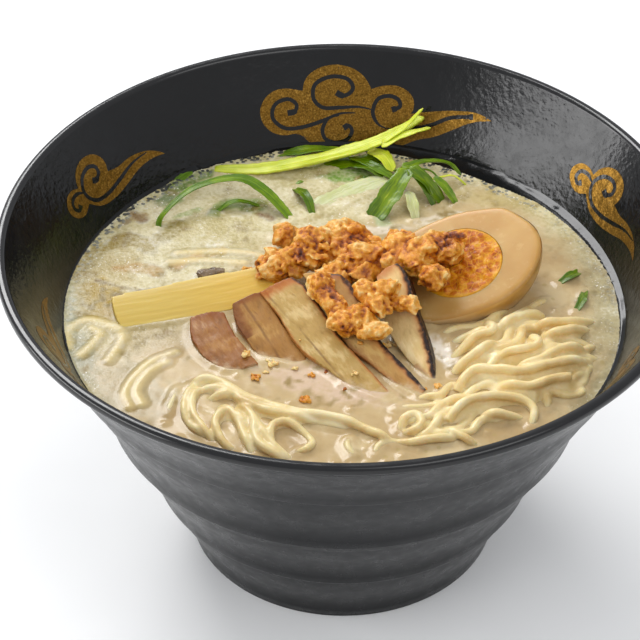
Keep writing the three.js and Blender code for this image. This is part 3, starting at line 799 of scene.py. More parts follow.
def cutSlice(cut, seed):
    outline = list(cut["top"]) + list(cut["right"][1:]) + list(cut["end"]) + list(cut["left"][:0:-1])
    last = len(cut["top"]) - 1
    piece = thickened("pork" + cut["node"][-1], outline, (0, last, last + len(cut["right"]) - 1),
                      porkShape["thickness"])
    remeshed(piece, porkShape["voxel"], 1)
    mesh = piece.data
    origin, along, side, up = sliceAxes(cut)
    flat = pointsOf(mesh, 1)
    tops, rights, lefts = (np.array(cut[key]) for key in ("top", "right", "left"))
    toRight = np.interp(flat[:, 0], rights[:, 0], rights[:, 1]) - flat[:, 1]
    toLeft = flat[:, 1] - np.interp(flat[:, 0], lefts[:, 0], lefts[:, 1])
    toTop = flat[:, 0] - np.interp(flat[:, 1], tops[:, 1], tops[:, 0])
    share = flat[:, 0] / cut["length"]
    wobble = np.array([ripple(x, y, z, 3, seed) + 0.6 * ripple(x, y, z, 1.2, seed) for x, y, z in flat])
    away = {"top": toTop, "right": toRight, "left": toLeft}
    shade = np.zeros((len(flat), 4))
    for edge, first, last, width, roast, charAndPaintedShade in cut["bands"]:
        inside = (share >= first - 0.02) & (share <= last + 0.02)
        near = np.exp(-(np.maximum(away[edge] + wobble * width * 0.3, 0) / width) ** 2) * inside
        shade[:, 0] = np.maximum(shade[:, 0], near * roast)
        nearest = eased(away[edge] + wobble * width * 0.4, width * 0.85, width * 0.35) * inside
        shade[:, 1] = np.maximum(shade[:, 1], nearest * charAndPaintedShade)
    shade[:, 2] = np.clip(-flat[:, 2] / porkShape["thickness"], 0, 1)
    shade[:, 3] = 1
    mesh.color_attributes.new("roast", "FLOAT_COLOR", "POINT").data.foreach_set("color", shade.ravel())
    where = mesh.attributes.new("slicePlace", "FLOAT_VECTOR", "POINT")
    where.data.foreach_set("vector", (flat * mm).ravel())
    half = (toRight + toLeft) / 2
    for i, vertex in enumerate(mesh.vertices):
        x, y, z = flat[i]
        crown = porkShape["crown"] * (1 - min(1, abs(toLeft[i] - half[i]) / max(half[i], 1)) ** 2)
        fibre = 0.08 * ripple(x / 4, y, z * 0.5, 1.1, seed) + 0.12 * ripple(x, y, z, 3.2, seed)
        fibre += 0.25 * abs(ripple(x, y, z, 0.9, seed)) * shade[i, 1]
        sway = 0.15 * ripple(x, y, z, 2, seed + 9)
        spot = origin + along * x + side * (y + sway) + up * (z + crown + fibre)
        vertex.co = spot * mm
    smoothShade(piece, 180)
    return piece


def makePork(name, crack, dark, middle, light, crust, rind):
    # braised and seared pork: close moist fibres in the cut, browned glossy skin, black where the flame
    # caught it, and black as painted shade along the right edges
    material, add, shader = newMaterial(name, (0.15, (1, 0.45, 0.2), 0.002), IOR=1.42)
    spot = add("Attribute", out="Vector", attribute_name="slicePlace")
    stretched = add("Mapping", {"Vector": spot, "Scale": (0.35, 1, 1)})
    fibres = add("TexNoise", {"Vector": stretched, "Detail": 5, "Roughness": 0.6}, size=1.3)
    patches = add("TexNoise", {"Vector": spot, "Detail": 3}, size=9)
    share = add("Math", (patches, 0.6), operation="MULTIPLY")
    mixed = add("Math", (fibres, 0.4, share), operation="MULTIPLY_ADD")
    colour = add("ValToRGB", (mixed,), stops=((0.34, dark), (0.5, middle), (0.64, light)))
    flecks = add("TexNoise", {"Vector": stretched, "Detail": 4, "Roughness": 0.7}, size=1.6)
    fleck = add("MapRange", (flecks, 0.61, 0.7, 0, 0.4), **smoothly)
    colour = add("Mix", {0: fleck, 6: colour, 7: dark}, blend_type="MULTIPLY", **asColour)
    if crack:  # where the fibres part
        bend = add("TexNoise", {"Vector": stretched, "Detail": 2}, size=16)
        bend = add("Math", (bend, 0.004, -0.002 - crack * mm), operation="MULTIPLY_ADD")
        aside = add("Math", (add("SeparateXYZ", (spot,), "Y"), bend), operation="ADD")
        aside = add("Math", (aside,), operation="ABSOLUTE")
        broken = add("TexNoise", {"Vector": stretched, "Detail": 2}, size=7)
        parted = add("Math", (add("MapRange", (aside, 0.0005, 0.0001), **smoothly),
                              add("MapRange", (broken, 0.44, 0.58, 0, 0.55), **smoothly)),
                              operation="MULTIPLY")
        colour = add("Mix", {0: parted, 6: colour, 7: "#6a421e"}, **asColour)
    red, green, blue = add("SeparateColor", (add("Attribute", out="Color", attribute_name="roast"),), None)
    uneven = add("TexNoise", {"Vector": spot, "Detail": 4, "Roughness": 0.6}, size=2.2)
    uneven = add("MapRange", (uneven, 0.25, 0.5, 0.6, 1), **smoothly)
    roasted = add("Math", (red, uneven), operation="MULTIPLY")
    specks = add("TexNoise", {"Vector": spot, "Detail": 4, "Roughness": 0.7}, size=1.1)
    specks = add("MapRange", (specks, 0.28, 0.5, 0.5, 1), **smoothly)
    # charred crust, and painted shade along the right edges
    charredAndPaintedShade = add("Math", (green, specks), operation="MULTIPLY")
    crusty = add("MapRange", (roasted, 0.05, 0.75, 0, 0.9), **smoothly)
    browned = add("MapRange", (roasted, 0.6, 1, 0, 0.35), **smoothly)
    skin = add("MapRange", (blue, 0.12, 0.35), **smoothly)
    room = add("TexCoord", out="Object")
    ripples = add("TexNoise", {"Vector": room, "Detail": 4, "Roughness": 0.6}, size=4)
    waterline = add("Math", (ripples, 0.0036, add("SeparateXYZ", (room,), "Z")), operation="MULTIPLY_ADD")
    dipped = add("MapRange", (waterline, (brothLevel + 3.1) * mm, (brothLevel + 1.5) * mm, 0, 0.8),
                 **smoothly)
    for amount, over in ((crusty, crust), (browned, "#7a4216"), (skin, rind), (charredAndPaintedShade, "#1d0f0a"),
                         (dipped, "#d3bb98")):
        colour = add("Mix", {0: amount, 6: colour, 7: over}, **asColour)
    grit = add("TexNoise", {"Vector": spot, "Detail": 3, "Roughness": 0.6}, size=0.7)
    rough = add("MapRange", (green, 0, 1, 0.4, 1), **smoothly)
    fine = add("Bump", {"Height": fibres, "Distance": 0.2 * mm, "Strength": 0.7})
    feed(shader, Base_Color=colour, Roughness=add("MapRange", (fibres, 0.35, 0.65, 0.52, 0.32), **smoothly),
         Normal=add("Bump", {"Height": grit, "Distance": 0.1 * mm, "Strength": rough, "Normal": fine}))
    return material


for index, cut in enumerate(porkShape["slices"]):
    meat = cutSlice(cut, index + 1)
    place(meat, makePork("seared pork " + str(index + 1), cut.get("crack"), *cut["colours"]), "pork",
          cut["node"])
print("pork sliced")


# Egg

eggShape = {
    "centre": (34, 8.6, 90.9),
    "length": 28,
    "blunt": 25,
    "width": 19.2,
    "heading": 12,
    "tilt": 16.5,
    "roll": 10,
    "yolk": 12.8,
    "yolkShift": 0.1,
    "corner": (17, 13, 1.3),  # where its outline stands out: place along and across, and how far
}


def eggPlace():
    heading, tilt, roll = (math.radians(eggShape[key]) for key in ("heading", "tilt", "roll"))
    turn = Matrix.Rotation(heading, 4, "Z") @ Matrix.Rotation(-tilt, 4, "Y") @ Matrix.Rotation(roll, 4, "X")
    return Matrix.Translation(Vector(eggShape["centre"])) @ turn


def ballAt(name, radius, detail, x=0):  # in millimetres, with its poles left and right
    bpy.ops.mesh.primitive_uv_sphere_add(segments=detail * 2, ring_count=detail, radius=radius,
                                         location=(0, 0, 0))
    piece = added(name)
    editAll()
    bpy.ops.transform.rotate(value=math.pi / 2, orient_axis="Y", center_override=(0, 0, 0))
    bpy.ops.transform.translate(value=(x, 0, 0))
    bpy.ops.object.mode_set(mode="OBJECT")
    return piece


def halved(piece, height, rounding, segments=3):  # cut flat, with the edge of the cut rounded over
    editAll()
    bpy.ops.mesh.bisect(plane_co=(0, 0, height), plane_no=(0, 0, 1), use_fill=True, clear_outer=True)
    bpy.ops.mesh.bevel(offset=rounding, segments=segments, affect="EDGES")
    facedOut()


def makeEggWhite():
    # boiled egg white, cut with a knife: firm, moist and a little see-through, stained by soy sauce
    material, add, shader = newMaterial("boiled egg white, marinated", (0.5, (1, 0.6, 0.3), 0.004), IOR=1.38,
                                        Roughness=0.3)
    spot = add("TexCoord", out="Object")
    patch = add("TexNoise", {"Vector": spot, "Detail": 3}, size=14)
    colour = add("ValToRGB", (patch,), stops=((0.35, "#b68a48"), (0.65, "#c09858")))
    streak = add("TexNoise", {"Vector": spot, "Detail": 4, "Roughness": 0.6}, size=2.5)
    streak = add("MapRange", (streak, 0.55, 0.75, 0, 0.3), **smoothly)
    fine = add("TexNoise", {"Vector": spot, "Detail": 3}, size=1.5)
    feed(shader, Base_Color=add("Mix", {0: streak, 6: colour, 7: "#d8bb84"}, **asColour),
         Normal=add("Bump", {"Height": fine, "Distance": 0.05 * mm, "Strength": 0.5}))
    return material


def makeEggSkin():
    # the outside of the same egg, stained tan by the marinade: smooth and wet
    material, add, shader = newMaterial("marinated egg skin", (0.3, (1, 0.55, 0.25), 0.003), IOR=1.38,
                                        Roughness=0.26)
    spot = add("TexCoord", out="Object")
    patch = add("TexNoise", {"Vector": spot, "Detail": 4, "Roughness": 0.6}, size=10)
    colour = add("ValToRGB", (patch,), stops=((0.3, "#b88a42"), (0.5, "#c49852"), (0.72, "#d0a864")))
    wavy = add("TexNoise", {"Vector": spot, "Detail": 3}, size=4)
    height = add("Math", (wavy, 0.004, add("SeparateXYZ", (spot,), "Z")), operation="MULTIPLY_ADD")
    washed = add("MapRange", (height, (brothLevel + 7.4) * mm, (brothLevel + 3) * mm, 0, 0.85), **smoothly)
    fine = add("TexNoise", {"Vector": spot, "Detail": 3}, size=2)
    feed(shader, Base_Color=add("Mix", {0: washed, 6: colour, 7: "#ceb288"}, **asColour),
         Normal=add("Bump", {"Height": fine, "Distance": 0.06 * mm, "Strength": 0.6}))
    return material


def makeYolk():
    # soft-boiled yolk: deep orange, sticky in the middle and crumbly pale at the rim
    material, add, shader = newMaterial("soft boiled yolk", (0.3, (1, 0.45, 0.08), 0.003), IOR=1.42)
    spot = add("TexCoord", out="Object")
    clots = add("TexNoise", {"Vector": spot, "Detail": 5, "Roughness": 0.65}, size=2.6)
    colour = add("ValToRGB", (clots,),
                 stops=((0.34, "#a04a02"), (0.47, "#c46c02"), (0.58, "#d48a04"), (0.7, "#e4ae1c")))
    colour = add("Mix", {0: add("Attribute", out="Fac", attribute_name="rim"), 6: colour, 7: "#d89c10"},
                 **asColour)
    ridges = add("TexVoronoi", {"Vector": spot}, size=2.1, feature="DISTANCE_TO_EDGE")
    ridges = add("MapRange", (ridges, 0.09, 0.01, 0, 0.5), **smoothly)
    damp = add("TexNoise", {"Vector": spot, "Detail": 3}, size=2.2)
    fine = add("TexNoise", {"Vector": spot, "Detail": 4, "Roughness": 0.6}, size=1.2)
    feed(shader, Base_Color=add("Mix", {0: ridges, 6: colour, 7: "#e8ac20"}, **asColour),
         Roughness=add("MapRange", (damp, 0.4, 0.6, 0.4, 0.6), **smoothly),
         Normal=add("Bump", {"Height": fine, "Distance": 0.25 * mm, "Strength": 0.7}))
    return material


def openCut(piece):  # takes the flat face of a cut away and leaves its edge selected
    bpy.ops.object.mode_set(mode="EDIT")
    bpy.ops.mesh.select_mode(type="FACE")
    bpy.ops.mesh.select_all(action="DESELECT")
    bpy.ops.object.mode_set(mode="OBJECT")
    for face in piece.data.polygons:
        face.select = len(face.vertices) > 20
    bpy.ops.object.mode_set(mode="EDIT")
    bpy.ops.mesh.delete(type="ONLY_FACE")
    bpy.ops.mesh.select_mode(type="VERT")
    bpy.ops.mesh.select_all(action="DESELECT")
    bpy.ops.mesh.select_non_manifold()


def closeRings(middle, steps):  # rings towards the middle of the cut: (grow, lower)
    for grow, lower in steps:
        bpy.ops.mesh.extrude_edges_move(TRANSFORM_OT_translate={"value": (0, 0, -lower)})
        bpy.ops.transform.resize(value=(grow, grow, 1), center_override=middle)
    bpy.ops.mesh.edge_face_add()
    facedOut()


def makeEgg():
    white = ballAt("eggWhite", 1, 36)
    for vertex in white.data.vertices:
        x = vertex.co.x
        girth = eggShape["width"] + (1.2 * x * (1 - x) if x > 0 else 0)
        vertex.co = (x * (eggShape["blunt"] if x > 0 else eggShape["length"]), vertex.co.y * girth,
                     vertex.co.z * girth)
    for vertex in white.data.vertices:
        cornerX, cornerY, swell = eggShape["corner"]
        near = math.exp(-(math.hypot(vertex.co.x - cornerX, vertex.co.y - cornerY) / 4.5) ** 2)
        near *= math.exp(-(vertex.co.z / 6) ** 2)
        out = Vector((vertex.co.x, vertex.co.y, 0)).normalized()
        vertex.co += out * swell * near
    halved(white, 0, 1.5, 5)
    openCut(white)
    middle = Vector((eggShape["yolkShift"], 0, 0))
    radius = eggShape["yolk"] + 0.05
    for left in (6, 5, 4, 3, 2, 1):  # rings over the cut face, from the egg's outline to the yolk's
        bpy.ops.mesh.extrude_edges_move()
        bpy.ops.object.mode_set(mode="OBJECT")
        for vertex in white.data.vertices:
            if vertex.select:
                out = Vector((vertex.co.x, vertex.co.y, 0)) - middle
                vertex.co = vertex.co.lerp(middle + out.normalized() * radius, 1 / left)
        bpy.ops.object.mode_set(mode="EDIT")
    turns = [math.radians(angle) for angle in range(0, 91, 10)]
    steps = [(max(0.2, math.cos(b) / math.cos(a)), radius * (math.sin(b) - math.sin(a)))
             for a, b in zip(turns, turns[1:])]
    closeRings(middle, steps)
    white.data.materials.clear()
    white.data.materials.append(makeEggWhite())
    white.data.materials.append(makeEggSkin())
    for face in white.data.polygons:
        x, y, z = face.center
        cutFace = z > -0.5 and math.hypot(x / 26.4, y / 19.4) < 0.985
        inHollow = math.hypot(x - middle.x, y) < radius - 0.1 and face.normal.z > 0
        face.material_index = 0 if cutFace or inHollow else 1
    yolk = ballAt("eggYolk", eggShape["yolk"], 60, eggShape["yolkShift"])
    halved(yolk, 0.1, 0.45)
    openCut(yolk)
    closeRings(middle, [(1 - 1 / left, 0) for left in range(30, 1, -1)])
    shade = []
    for vertex in yolk.data.vertices:
        x, y, z = vertex.co
        far = math.hypot(x - eggShape["yolkShift"], y)
        if z > -0.6:
            inside = min(1, max(0, (eggShape["yolk"] - far) / 2.5))
            jam = 0.9 * abs(ripple(x, y, 0, 3.4)) + 0.7 * ripple(x, y, 3, 2) + 0.4 * abs(ripple(x, y, 5, 1.1))
            vertex.co.z += inside * (jam - 0.35)
        shade.append(min(1, max(0, (far - 11.6 + 1.2 * ripple(x, y, 8, 2.5)) / 1.6)))
    rim = yolk.data.attributes.new("rim", "FLOAT", "POINT")
    rim.data.foreach_set("value", shade)
    for piece in (white, yolk):
        piece.data.transform(Matrix.Scale(mm, 4) @ eggPlace())
        smoothShade(piece, 40)
    return white, yolk


eggWhite, eggYolk = makeEgg()
place(eggWhite, None, "egg_white", "egg_white")
place(eggYolk, makeYolk(), "yolk", "egg_yolk")
print("egg halved")


# Bamboo shoot and mushroom

bambooShape = {"start": (-66.6, -6.6, 84.4), "end": (-18, 7.8, 85.6), "width": 13.2, "roll": 15,
               "thickness": 4.6, "groove": 0.06}


def makeBambooMeat():
    # simmered bamboo shoot, cut lengthwise: pale stringy fibres, wet and glossy, with a painted highlight
    # along its back edge
    material, add, shader = newMaterial("simmered bamboo shoot", (0.35, (1, 0.75, 0.25), 0.003), IOR=1.4,
                                        Roughness=0.3)
    spot = add("Attribute", out="Vector", attribute_name="slicePlace")
    stretched = add("Mapping", {"Vector": spot, "Scale": (0.05, 1, 1)})
    threads = add("TexNoise", {"Vector": stretched, "Detail": 4, "Roughness": 0.6}, size=1.4)
    along, across = add("SeparateXYZ", (spot,), None)[:2]
    paleSide = add("ValToRGB", (threads,), stops=((0.3, "#d0b25c"), (0.5, "#d6b85e"), (0.7, "#dec370")))
    goldSide = add("ValToRGB", (threads,), stops=((0.25, "#cda74c"), (0.5, "#d5af4c"), (0.75, "#ddb95c")))
    share = add("MapRange", (along, 0.008, 0.046), **smoothly)
    colour = add("Mix", {0: share, 6: paleSide, 7: goldSide}, **asColour)
    # painted highlight: the back edge paler, as if lit from behind
    paintedBackEdgeHighlight = add("MapRange", (across, 0.003, 0.0075, 0, 0.4), **smoothly)
    feed(shader, Base_Color=add("Mix", {0: paintedBackEdgeHighlight, 6: colour, 7: "#dcc884"}, **asColour),
         Normal=add("Bump", {"Height": threads, "Distance": 0.06 * mm, "Strength": 0.5}))
    return material


def cutBamboo():
    start, end = Vector(bambooShape["start"]), Vector(bambooShape["end"])
    length, wide = (end - start).length, bambooShape["width"] / 2
    outline = ((0.4, -wide), (-0.3, 0), (0.2, wide - 0.4), (length * 0.5, wide + 0.2), (length, wide - 0.2),
               (length, -wide + 0.2), (length * 0.5, -wide - 0.2))
    piece = thickened("bambooShoot", outline, (0, 2, 4, 5), bambooShape["thickness"])
    remeshed(piece, 0.42, 1)
    mesh = piece.data
    flat = pointsOf(mesh, 1)
    mesh.attributes.new("slicePlace", "FLOAT_VECTOR", "POINT").data.foreach_set("vector", (flat * mm).ravel())
    along = (end - start).normalized()
    side = Vector((0, 0, 1)).cross(along).normalized()
    side = (side + Vector((0, 0, math.tan(math.radians(bambooShape["roll"]))))).normalized()
    up = along.cross(side)
    for vertex, (x, y, z) in zip(mesh.vertices, flat):
        threads = ripple(x / 14, y, z * 0.4, 1.3) + 0.6 * ripple(x / 10, y, z * 0.4, 0.6)
        crown = z + 0.12 + bambooShape["groove"] * threads - 0.04 * (y / wide) ** 2 * 9
        sag = -0.6 * 4 * (x / length) * (1 - x / length) * 0.4
        spot = start + along * x + side * (y + 0.2 * ripple(x, 0, z, 8)) + up * crown
        vertex.co = (spot + Vector((0, 0, sag))) * mm
    smoothShade(piece, 180)
    return piece


def makeMushroomFlesh():
    # cloud ear mushroom: thin grey-brown jelly, darker at its edges
    material, add, shader = newMaterial("wood ear mushroom", IOR=1.4, Roughness=0.28)
    spot = add("TexCoord", out="Object")
    patch = add("TexNoise", {"Vector": spot, "Detail": 4, "Roughness": 0.6}, size=2.2)
    fine = add("TexNoise", {"Vector": spot, "Detail": 3}, size=1.2)
    feed(shader,
         Base_Color=add("ValToRGB", (patch,), stops=((0.3, "#3a2c22"), (0.5, "#7a6650"), (0.7, "#a8957a"))),
         Normal=add("Bump", {"Height": fine, "Distance": 0.3 * mm, "Strength": 1}))
    return material


mushroomShape = {"middle": (-39.5, 13, 83.4), "half": (4.1, 2.1, 1.5)}


def makeMushroom():
    (cx, cy, cz), (rx, ry, rz) = mushroomShape["middle"], mushroomShape["half"]
    bpy.ops.mesh.primitive_ico_sphere_add(subdivisions=5, radius=1, location=(0, 0, 0))
    piece = added("mushroomBit")
    for vertex in piece.data.vertices:
        x, y, z = vertex.co
        crease = 0.5 * ripple(x, y, z, 0.45, 3) + 0.25 * ripple(x, y, z, 0.2, 4)
        swell = 1 + 0.35 * crease
        curl = 0.8 * x * x
        vertex.co = Vector((cx + rx * x * swell, cy + ry * y * swell + 0.6 * x,
                            cz + rz * z * swell + curl)) * mm
    smoothShade(piece, 180)
    return piece


place(cutBamboo(), makeBambooMeat(), "bamboo", "bamboo_shoot")
place(makeMushroom(), makeMushroomFlesh(), "mushroom", "mushroom")
print("bamboo and mushroom cut")


# Fried crumbs

crumbShape = {
    "heap": (((-19, 11.5, 87.5), (6.5, 5.6, 3.6)), ((-9, 14, 90.5), (6.5, 6.5, 5.5)),
             ((0, 17, 91), (7, 6.5, 5.5)), ((6, 9.5, 90), (8.5, 9, 4.8)), ((15, 11, 92), (6, 7.5, 5)),
             ((22, 7, 93.5), (6, 7.5, 4.6)), ((28.6, 10.6, 94.6), (5.4, 5, 3)),
             ((25.8, -0.8, 93), (4.4, 4.4, 3)), ((-17.2, 29.4, 84), (2.4, 5, 2.4)),
             ((-3, 4, 89), (5, 4, 3.4)), ((-3, 21, 89.5), (5, 4.4, 4))),
    "left": (((-7, -6.4, 93.6), (2.6, 2.2, 1.5)), ((-4.6, -10.4, 93.2), (2.4, 2.6, 1.6)),
             ((-2.6, -14.4, 92.4), (2.6, 2.8, 1.9)), ((-1.4, -19.4, 90.8), (3, 2.6, 2.2)),
             ((3.8, -18.4, 91.4), (3.8, 3.2, 2.4)), ((8.4, -22.6, 90), (2.8, 2.8, 2))),
    "right": (((6.6, -10.4, 93.6), (2.8, 2.6, 2)), ((12, -9.6, 94.8), (3.4, 2.6, 2)),
              ((10.4, -14.8, 93), (3.4, 2.8, 2.2)), ((17.2, -13.8, 93.4), (3, 2.2, 1.8))),
    "flakes": {"heap": ((33, 13.4, 97.4, 3.4), (-24.4, 10.8, 87.2, 3), (9, 13, 96.6, 2.4),
                        (1.4, 7.6, 94.4, 3), (-4, 22, 94, 2.8), (-7, 8, 93.6, 2.6), (19, 15, 97, 2.4),
                        (-13, 9.4, 92, 2.6), (26, 7, 97.8, 2.2)),
               "left": ((0.4, -22.4, 91.4, 2),), "right": ((8, -12, 95, 2),)},
    "chips": {"heap": 520, "left": 130, "right": 100},
    "chipSize": (0.7, 4.4),
    "voxel": 0.38,
}


def makeCrumb():
    # fried batter and garlic: craggy, crisp and oily, cream at the ridges and dark in the hollows, which is a
    # painted highlight on the ridges and painted shade in the hollows
    material, add, shader = newMaterial("fried crumbs", (0.2, (1, 0.45, 0.12), 0.0015), IOR=1.47,
                                        Roughness=0.34)
    spot = add("TexCoord", out="Object")
    # the tone carries painted shade in the hollows and a painted highlight on the ridges
    tone = add("Attribute", out="Fac", attribute_name="tone")
    specks = add("TexNoise", {"Vector": spot, "Detail": 4, "Roughness": 0.7}, size=1.2)
    patches = add("TexNoise", {"Vector": spot, "Detail": 3}, size=8)
    for pattern, strength in ((specks, 0.9), (patches, 1.3)):
        aside = add("Math", (pattern, 0.5), operation="SUBTRACT")
        tone = add("Math", (aside, strength, tone), operation="MULTIPLY_ADD")
    stops = ((0.04, "#3c1406"), (0.2, "#7a340c"), (0.36, "#b26212"), (0.52, "#d4881e"), (0.7, "#e4a440"),
             (0.94, "#f0cd88"))
    flakes = add("TexVoronoi", {"Vector": spot}, size=1.3)
    flaky = add("Bump", {"Height": flakes, "Distance": 0.35 * mm, "Strength": 0.6})
    grit = add("TexNoise", {"Vector": spot, "Detail": 4, "Roughness": 0.7}, size=0.6)
    feed(shader, Base_Color=add("ValToRGB", (tone,), stops=stops, evenly=True),
         Normal=add("Bump", {"Height": grit, "Distance": 0.24 * mm, "Strength": 0.9, "Normal": flaky}))
    return material


def chipShapes(seed):  # crisp broken chips, each a different form
    dice = random.Random(seed)
    shapes = []
    for flatness in (0.35, 0.5, 0.65, 0.8, 0.9, 0.45, 0.7, 1):
        bpy.ops.mesh.primitive_ico_sphere_add(subdivisions=2, radius=1, location=(0, 0, 0))
        chip = added("chip")
        slim = dice.uniform(0.45, 0.9)
        for vertex in chip.data.vertices:
            x, y, z = vertex.co
            swell = 1 + 0.6 * ripple(x, y, z, 0.8, seed + flatness * 9)
            swell += 0.3 * ripple(x, y, z, 0.4, seed + flatness * 5)
            vertex.co = Vector((x * swell, y * swell * slim,
                                z * swell * flatness + 0.4 * x * x * (1 - flatness)))
        shapes.append(chip)
    return shapes


def hollows(mesh, reach):  # how far each point stands out from the smoothed surface around it
    count = len(mesh.vertices)
    spots, normals = pointsOf(mesh, 1), pointsOf(mesh, 1, "normal")
    edges = np.empty(len(mesh.edges) * 2, int)
    mesh.edges.foreach_get("vertices", edges)
    ends = np.concatenate([edges[0::2], edges[1::2]])
    starts = np.concatenate([edges[1::2], edges[0::2]])
    links = np.bincount(ends, minlength=count)[:, None]
    smoothed = spots.copy()
    for turn in range(reach):
        sums = [np.bincount(ends, smoothed[starts, axis], count) for axis in range(3)]
        smoothed = np.stack(sums, 1) / links
    return ((spots - smoothed) * normals).sum(1)


def writeToneWithPaintedCavityShade(piece, values):
    piece.data.attributes.new("tone", "FLOAT", "POINT").data.foreach_set("value", values)


def crumbMass(kind, shapes, seed):  # many chips fried into one craggy mass
    name, bodies, count = "crumbs" + kind.capitalize(), crumbShape[kind], crumbShape["chips"][kind]
    dice = random.Random(seed)
    low, high = crumbShape["chipSize"]
    parts = []
    weights = [size[0] * size[1] for at, size in bodies]
    for at, size in bodies:
        bpy.ops.mesh.primitive_ico_sphere_add(subdivisions=4, radius=1, location=(0, 0, 0))
        lump = added("lump")
        for vertex in lump.data.vertices:
            x, y, z = vertex.co
            swell = 0.86 + 0.25 * ripple(x, y, z, 0.6, seed)
            vertex.co = Vector([at[k] + p * size[k] * swell for k, p in enumerate((x, y, z))])
        parts.append(lump)
    for at, size in dice.choices(bodies, weights, k=count):
        wide = low + (high - low) * dice.random() ** 3.2
        out = Vector((dice.gauss(0, 1), dice.gauss(0, 1), abs(dice.gauss(0, 1)) - 0.25)).normalized()
        spot = Vector((at[0] + out.x * (size[0] - wide * 0.4), at[1] + out.y * (size[1] - wide * 0.4),
                       at[2] + out.z * size[2] * 0.95))
        chip = copied(dice.choice(shapes))
        turn = facing((dice.uniform(-1, 1), dice.uniform(-1, 1), dice.uniform(-1, 1)))
        chip.data.transform(Matrix.Translation(spot) @ turn @ Matrix.Scale(wide, 4))
        parts.append(chip)
    for x, y, z, wide in crumbShape["flakes"][kind]:  # thin dark flakes that stick out
        flake = copied(shapes[-1])
        turn = facing((dice.uniform(-0.7, 0.7), dice.uniform(-1, 0), 1))
        thin = Matrix.Diagonal((wide, wide * 0.55, 0.5, 1))
        flake.data.transform(Matrix.Translation((x, y, z)) @ turn @ thin)
        parts.append(flake)
    piece = joinAll(name, parts)
    remeshed(piece, crumbShape["voxel"], 1)
    spots, normals = pointsOf(piece.data, 1), pointsOf(piece.data, 1, "normal")
    lift = []
    for x, y, z in spots:
        crags = 0.4 * (0.3 - abs(ripple(x, y, z, 2.6, seed))) + 0.3 * ripple(x, y, z, 1.1, seed + 2)
        lift.append(crags + 0.2 * abs(ripple(x, y, z, 0.7, seed + 4)))
    movePoints(piece.data, spots + normals * np.array(lift)[:, None], 1)
    # painted shade in the hollows and painted highlight on the ridges, from how far each point stands out
    tone = 0.5 + hollows(piece.data, 14) * 0.52
    for x, y, z, wide in crumbShape["flakes"][kind]:
        tone -= 0.22 * np.exp(-(np.linalg.norm(spots - (x, y, z), axis=1) / wide) ** 4)
    writeToneWithPaintedCavityShade(piece, np.clip(tone, 0.02, 0.98))
    return piece


friedCrumb = makeCrumb()
chips = chipShapes(21)
for kind, node, seed in (("heap", "crumbs_heap", 5), ("left", "crumbs_clump_left", 11),
                         ("right", "crumbs_clump_right", 13)):
    mass = crumbMass(kind, chips, seed)
    mass.data.transform(Matrix.Scale(mm, 4))
    smoothShade(mass, 50)
    place(mass, friedCrumb, "crumb", node)
    print(mass.name, len(mass.data.polygons), "faces")


looseShape = {
    "spots": ((-27.6, -25.2, 1.7, 0.85), (-25.6, -33.7, 1.8, 0.55), (-19.8, -27.8, 1.5, 0.95),
              (-9.5, -32.4, 1.2, 0.7), (-5.4, -31.1, 1.1, 0.4), (4.4, -23.2, 1.1, 0.9),
              (12.6, -19.2, 2, 0.95), (-10.9, -43.2, 1.9, 0.45), (2.7, -33.8, 1, 0.9),
              (-21.2, -27.2, 1.2, 0.95), (25.8, -37.7, 1.7, 0.95), (28, -41.8, 1.3, 0.3),
              (-12.7, -21.5, 0.6, 0.7), (0, -38.1, 0.9, 0.4), (-22.5, -31, 0.9, 0.7), (-24.6, 11.6, 1.6, 0.3),
              (-28.6, 11.6, 1.3, 0.6), (23, -38.5, 1, 0.7), (-14, -29.5, 1, 0.9), (9.6, -21.6, 1, 0.6),
              (-18.6, 33.6, 1.4, 0.4)),
}


def scatterLoose():  # single crumbs on the pork and half sunk in the soup
    dice = random.Random(4)
    under = ("pork1", "pork2", "pork3", "pork4", "pork5", "bambooShoot")
    rests = [piece for piece in bpy.data.objects if piece.name in under]
    parts = []
    for x, y, size, tone in looseShape["spots"]:
        top = brothLevel * mm
        for rest in rests:
            found, at = rest.ray_cast(Vector((x * mm, y * mm, 0.2)), Vector((0, 0, -1)))[:2]
            if found:
                top = max(top, at.z)
        for grit in range(6):  # each crumb is a few chips stuck together
            chip = copied(dice.choice(chips))
            turn = facing((dice.uniform(-1, 1), dice.uniform(-1, 1), dice.uniform(-1, 1)))
            spot = Vector((x + dice.gauss(0, 0.42) * size, y + dice.gauss(0, 0.35) * size,
                           top / mm + size * dice.uniform(0, 0.42)))
            scale = Matrix.Scale(size * dice.uniform(0.35, 0.62), 4)
            chip.data.transform(Matrix.Translation(spot) @ turn @ scale)
            parts.append(chip)
    piece = joinAll("looseCrumbs", parts)
    tones = kdtree.KDTree(len(looseShape["spots"]))
    for i, (x, y, size, tone) in enumerate(looseShape["spots"]):
        tones.insert((x, y, 0), i)
    tones.balance()
    remeshed(piece, 0.2, 1)
    spots = pointsOf(piece.data, 1)
    nearest = [looseShape["spots"][tones.find((x, y, 0))[1]][3] for x, y, z in spots]
    # each crumb's own tone, plus painted shade in its hollows and painted highlight on its ridges
    writeToneWithPaintedCavityShade(piece, np.clip(np.array(nearest) + hollows(piece.data, 8) * 0.6, 0.02, 0.98))
    piece.data.transform(Matrix.Scale(mm, 4))
    smoothShade(piece, 60)
    return piece


place(scatterLoose(), friedCrumb, "crumb")
for chip in chips:
    bpy.data.objects.remove(chip)
print("crumbs fried")


# Spring onion
# Each strip is a path with its height over the soup, the width along it, a thickness and a cup across it.

